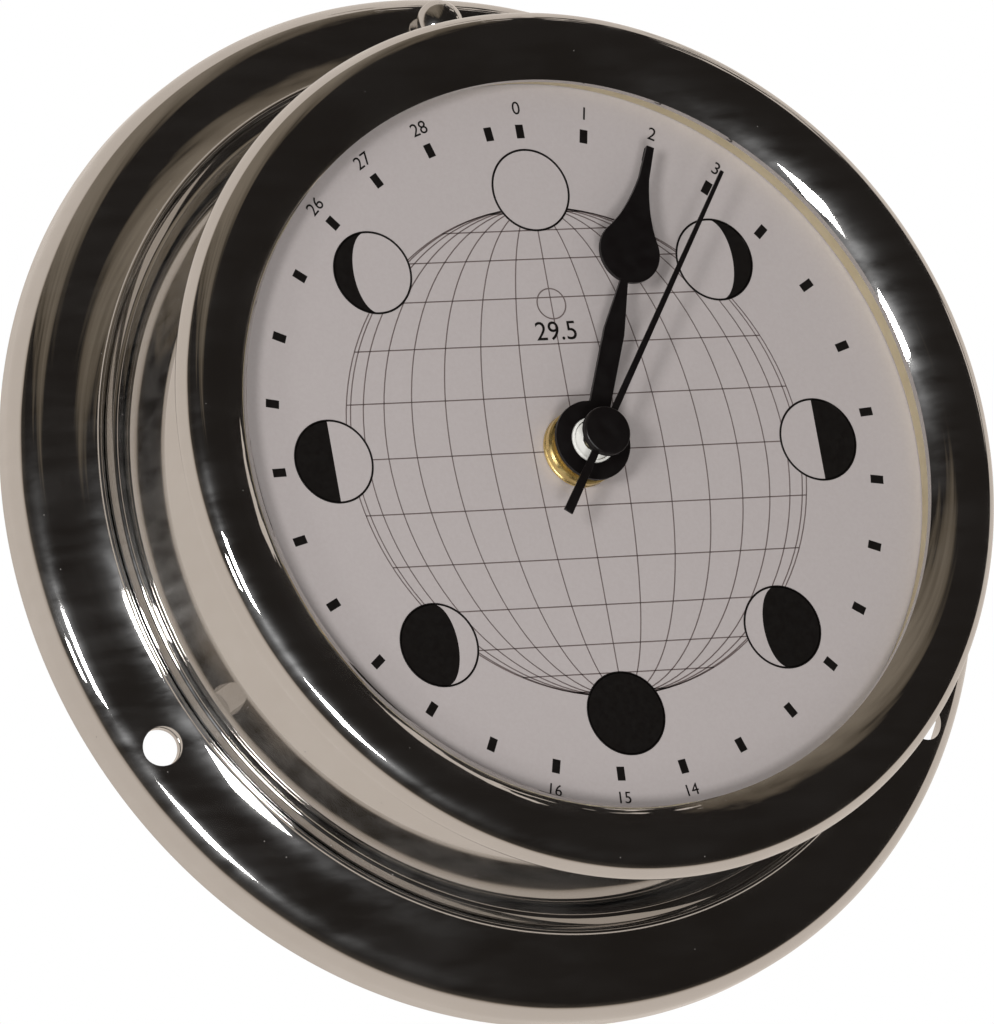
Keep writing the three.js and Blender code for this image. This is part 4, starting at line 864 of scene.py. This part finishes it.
shades = bmesh.new()
for step in range(1, 8):
    left, right = max(1 - step / 2, -1), min(3 - step / 2, 1)
    film(shades, moon_shade(clock_point(DISC_CIRCLE, 45 * step), left, right), INK)
shade_mesh = bpy.data.meshes.new("moon_shades")
bmesh.ops.recalc_face_normals(shades, faces=shades.faces)
shades.to_mesh(shade_mesh)
shades.free()
shade_mesh.materials.append(black_ink)
dress(laid_on_dial("moon_shades", shade_mesh, INK * 2.5), "case", "black_paint")


# %% [markdown]
# ### Numbers
#
# Plain day numbers stand outside the marks at the top and at the foot, and the length of the month
# in the upper middle under a plain ring. Text objects give the figures; each is made a mesh, then
# moved and turned, and all are joined in one.


# %% Day numbers
def lettering(text, size, place, angle):
    """The mesh of a short text in mm, centred on a place and turned."""
    curve = bpy.data.curves.new("figures", "FONT")
    curve.body = text
    curve.size = size
    curve.align_x = "CENTER"
    curve.align_y = "CENTER"
    curve.extrude = INK / 2
    curve.resolution_u = 4
    holder = bpy.data.objects.new("figures", curve)
    bpy.context.scene.collection.objects.link(holder)
    mesh = evaluated_mesh(holder)
    bpy.data.objects.remove(holder)
    mesh.transform(Matrix.Translation((*place, 0)) @ Matrix.Rotation(math.radians(-angle), 4, "Z"))
    return mesh


figures = bmesh.new()
for day in (26, 27, 28, 0, 1, 2, 3):
    where = 360 * day / DAYS
    figures.from_mesh(lettering(str(day), 2.7, clock_point(50.0, where), where))
for day in (14, 15, 16):
    where = 360 * day / DAYS
    figures.from_mesh(lettering(str(day), 2.4, clock_point(50.2, where), where + 180))
figures.from_mesh(lettering(str(DAYS), 3.9, (0, 17.3), 0))
figure_mesh = bpy.data.meshes.new("day_numbers")
bmesh.ops.remove_doubles(figures, verts=figures.verts, dist=0.0001)
bmesh.ops.recalc_face_normals(figures, faces=figures.faces)
figures.to_mesh(figure_mesh)
figures.free()
figure_mesh.materials.append(black_ink)
dress(laid_on_dial("day_numbers", figure_mesh, INK * 2.5), "case", "black_paint")

# %% Plain ring above the month's length
OUTER, INNER, RING_STEPS = 2.3, 2.12, 72
small_ring = bmesh.new()
loops = []
for radius, level in ((OUTER, -INK / 2), (OUTER, INK / 2), (INNER, INK / 2), (INNER, -INK / 2)):
    around = [clock_point(radius, 360 / RING_STEPS * i) for i in range(RING_STEPS)]
    loops.append([small_ring.verts.new((x, y, level)) for x, y in around])
for i in range(RING_STEPS):
    after = (i + 1) % RING_STEPS
    for here, there in zip(loops, loops[1:] + loops[:1]):
        small_ring.faces.new((here[i], here[after], there[after], there[i]))
bmesh.ops.translate(small_ring, verts=small_ring.verts, vec=(0, 21.4, 0))
bmesh.ops.recalc_face_normals(small_ring, faces=small_ring.faces)
ring_mesh = bpy.data.meshes.new("emblem_ring")
small_ring.to_mesh(ring_mesh)
small_ring.free()
ring_mesh.materials.append(line_ink)
dress(laid_on_dial("plain_ring", ring_mesh, INK * 2.5), "case", "black_paint")

# %% [markdown]
# ## Centre of the dial
#
# A round brass nut on a threaded bush clamps the dial to the movement. Inside the bush turns the
# pipe that carries the spade hand on a white collet, and through it all goes the seconds arbor with
# its hand and a flat black cap.

# %% Nut, bush and collet
nut_outline = (
    [(4.07, 29.1), (5.45, 29.1), (5.45, 29.5)]
    + [(5.25, 29.6), (5.25, 29.75), (5.45, 29.85), (5.45, 30.8), (5.2, 31.1)]
    + [(4.9, 31.1), (4.85, 31.0), (4.65, 31.0), (4.6, 31.1), (4.3, 31.1), (4.07, 30.9)]
)
dress(turned("brass_nut", nut_outline, brass, 128), "case", "brass", "fixing_nut")

bush_outline = [(3.0, 25.0), (5.5, 25.0), (5.5, 25.5), (3.95, 25.5), (3.95, 28.9)]
for step in range(6):
    foot = 28.9 + step * 0.35
    bush_outline += [(3.95, foot + 0.05), (3.75, foot + 0.175), (3.95, foot + 0.3)]
bush_outline += [(3.95, 31.0), (3.65, 31.3), (3.0, 31.3)]
dress(turned("brass_bush", bush_outline, brass, 128), "case", "brass", "threaded_bush")

collet_outline = [(2.92, 32.3), (4.4, 32.3), (4.4, 33.0), (3.25, 33.0)]
collet_outline += [(3.25, 33.95), (3.2, 34.0), (2.92, 34.0)]
collet = turned("white_collet", collet_outline, white_plastic, 128)
dress(collet, "moon", "white_plastic", "moon_collet")


# %% [markdown]
# ## Hands
#
# The hands are stamped from sheet and painted, so their edges are slightly rounded. The outline is
# extruded flat, turned to where the photograph shows the hand, and a Bevel modifier rounds it.

# %% Stamping helper
def stamped(name, outline, bottom, top, angle, material, hole=None, edge=0.06):
    """A flat hand from its outline in mm, pointing to twelve, turned clockwise by an angle."""
    curve = bpy.data.curves.new(name, "CURVE")
    curve.dimensions = "2D"
    curve.fill_mode = "BOTH"
    loops = [outline] + ([hole] if hole else [])
    for loop in loops:
        spline = curve.splines.new("POLY")
        spline.points.add(len(loop) - 1)
        for point, (x, y) in zip(spline.points, loop):
            point.co = (x, y, 0, 1)
        spline.use_cyclic_u = True
    curve.extrude = (top - bottom) / 2
    holder = bpy.data.objects.new(name, curve)
    bpy.context.scene.collection.objects.link(holder)
    flat = evaluated_mesh(holder)
    bpy.data.objects.remove(holder)
    flat.transform(Matrix.Rotation(math.radians(-angle), 4, "Z"))
    form = bmesh.new()
    form.from_mesh(flat)
    for vert in form.verts:
        x, y, z = vert.co
        vert.co = (x * MM, -(z + (bottom + top) / 2) * MM, y * MM)
    hand = object_from(name, form, material, sharp=40)
    rounding = hand.modifiers.new("rounding", "BEVEL")
    rounding.width = edge * MM
    rounding.segments = 2
    rounding.limit_method = "ANGLE"
    rounding.angle_limit = math.radians(50)
    mesh = evaluated_mesh(hand)
    hand.modifiers.clear()
    hand.data = mesh
    return hand


# %% Spade hand
TIP, SPADE_CENTRE, SPADE_RADIUS = 45.7, 29.3, 4.6
waist = -math.degrees(math.acos(0.56 / SPADE_RADIUS))
spade_side = arc((0, SPADE_CENTRE), SPADE_RADIUS, waist, 35, 40)
start, control, end = spade_side[-1], (1.6, SPADE_CENTRE + 6), (0.75, TIP - 4.9)
hollow = []
for i in range(1, 21):
    t = i / 20
    hollow.append(tuple(
        (1 - t) ** 2 * start[k] + 2 * t * (1 - t) * control[k] + t * t * end[k] for k in (0, 1)
    ))
STEM_HALF, HUB_RADIUS = 1.55, 5.7
hub_angle = math.degrees(math.asin(STEM_HALF / HUB_RADIUS))
stem_foot = (STEM_HALF, SPADE_CENTRE - SPADE_RADIUS - 7.9)
side = [stem_foot] + spade_side + hollow + [(0.55, TIP)]
hub = arc((0, 0), HUB_RADIUS, 90 + hub_angle, 450 - hub_angle, 96)
spade_outline = side + [(-x, y) for x, y in reversed(side)] + hub
collet_hole = [clock_point(3.37, i * 5) for i in range(72)]
spade = stamped("spade_hand", spade_outline, 33.2, 33.8, 22.4, black_satin, collet_hole)
dress(spade, "moon", "black_paint", "moon_hand")

# %% Seconds hand with its socket and cap
needle_side = [(0.7, -13.5), (0.5, 0), (0.28, 45.5)]
needle_outline = needle_side + [(-x, y) for x, y in reversed(needle_side)]
needle = stamped("seconds_needle", needle_outline, 36.9, 37.25, 35, black_satin, edge=0.04)
socket_outline = [(0.62, 34.7), (1.05, 34.7), (1.05, 36.95), (0.62, 36.95)]
socket = turned("needle_socket", socket_outline, black_satin, 48)
join = bmesh.new()
join.from_mesh(needle.data)
join.from_mesh(socket.data)
join.to_mesh(needle.data)
join.free()
bpy.data.objects.remove(socket)
dress(needle, "seconds", "black_paint", "seconds_hand")

cap_outline = (
    [(0, 37.3), (3.3, 37.3)]
    + arc((3.3, 37.5), 0.2, 270, 360, 4)
    + arc((3.15, 38.15), 0.35, 0, 90, 6)
    + [(0, 38.5)]
)
dress(turned("round_cap", cap_outline, black_satin, 128), "seconds", "black_paint", "seconds_cap")

# %% [markdown]
# ## Floor
#
# A plain pale floor lies well below the clock, under the camera, and takes its shadow. Chrome would
# mirror its edge, so reflections leave it out and show the world instead.

# %% Floor
floor_form = bmesh.new()
bmesh.ops.create_grid(floor_form, x_segments=8, y_segments=8, size=6)
bmesh.ops.translate(floor_form, verts=floor_form.verts, vec=(0, 0, -0.8))
floor_mesh = bpy.data.meshes.new("floor")
floor_form.to_mesh(floor_mesh)
floor_form.free()
floor = bpy.data.objects.new("floor", floor_mesh)
bpy.context.scene.collection.objects.link(floor)
floor_paint = finish("floor_paint", (0.86, 0.85, 0.84), 0.8)
tinted(floor_paint, 3.0, (0.84, 0.83, 0.82), (0.88, 0.87, 0.86))
floor_mesh.materials.append(floor_paint)
floor.visible_glossy = False
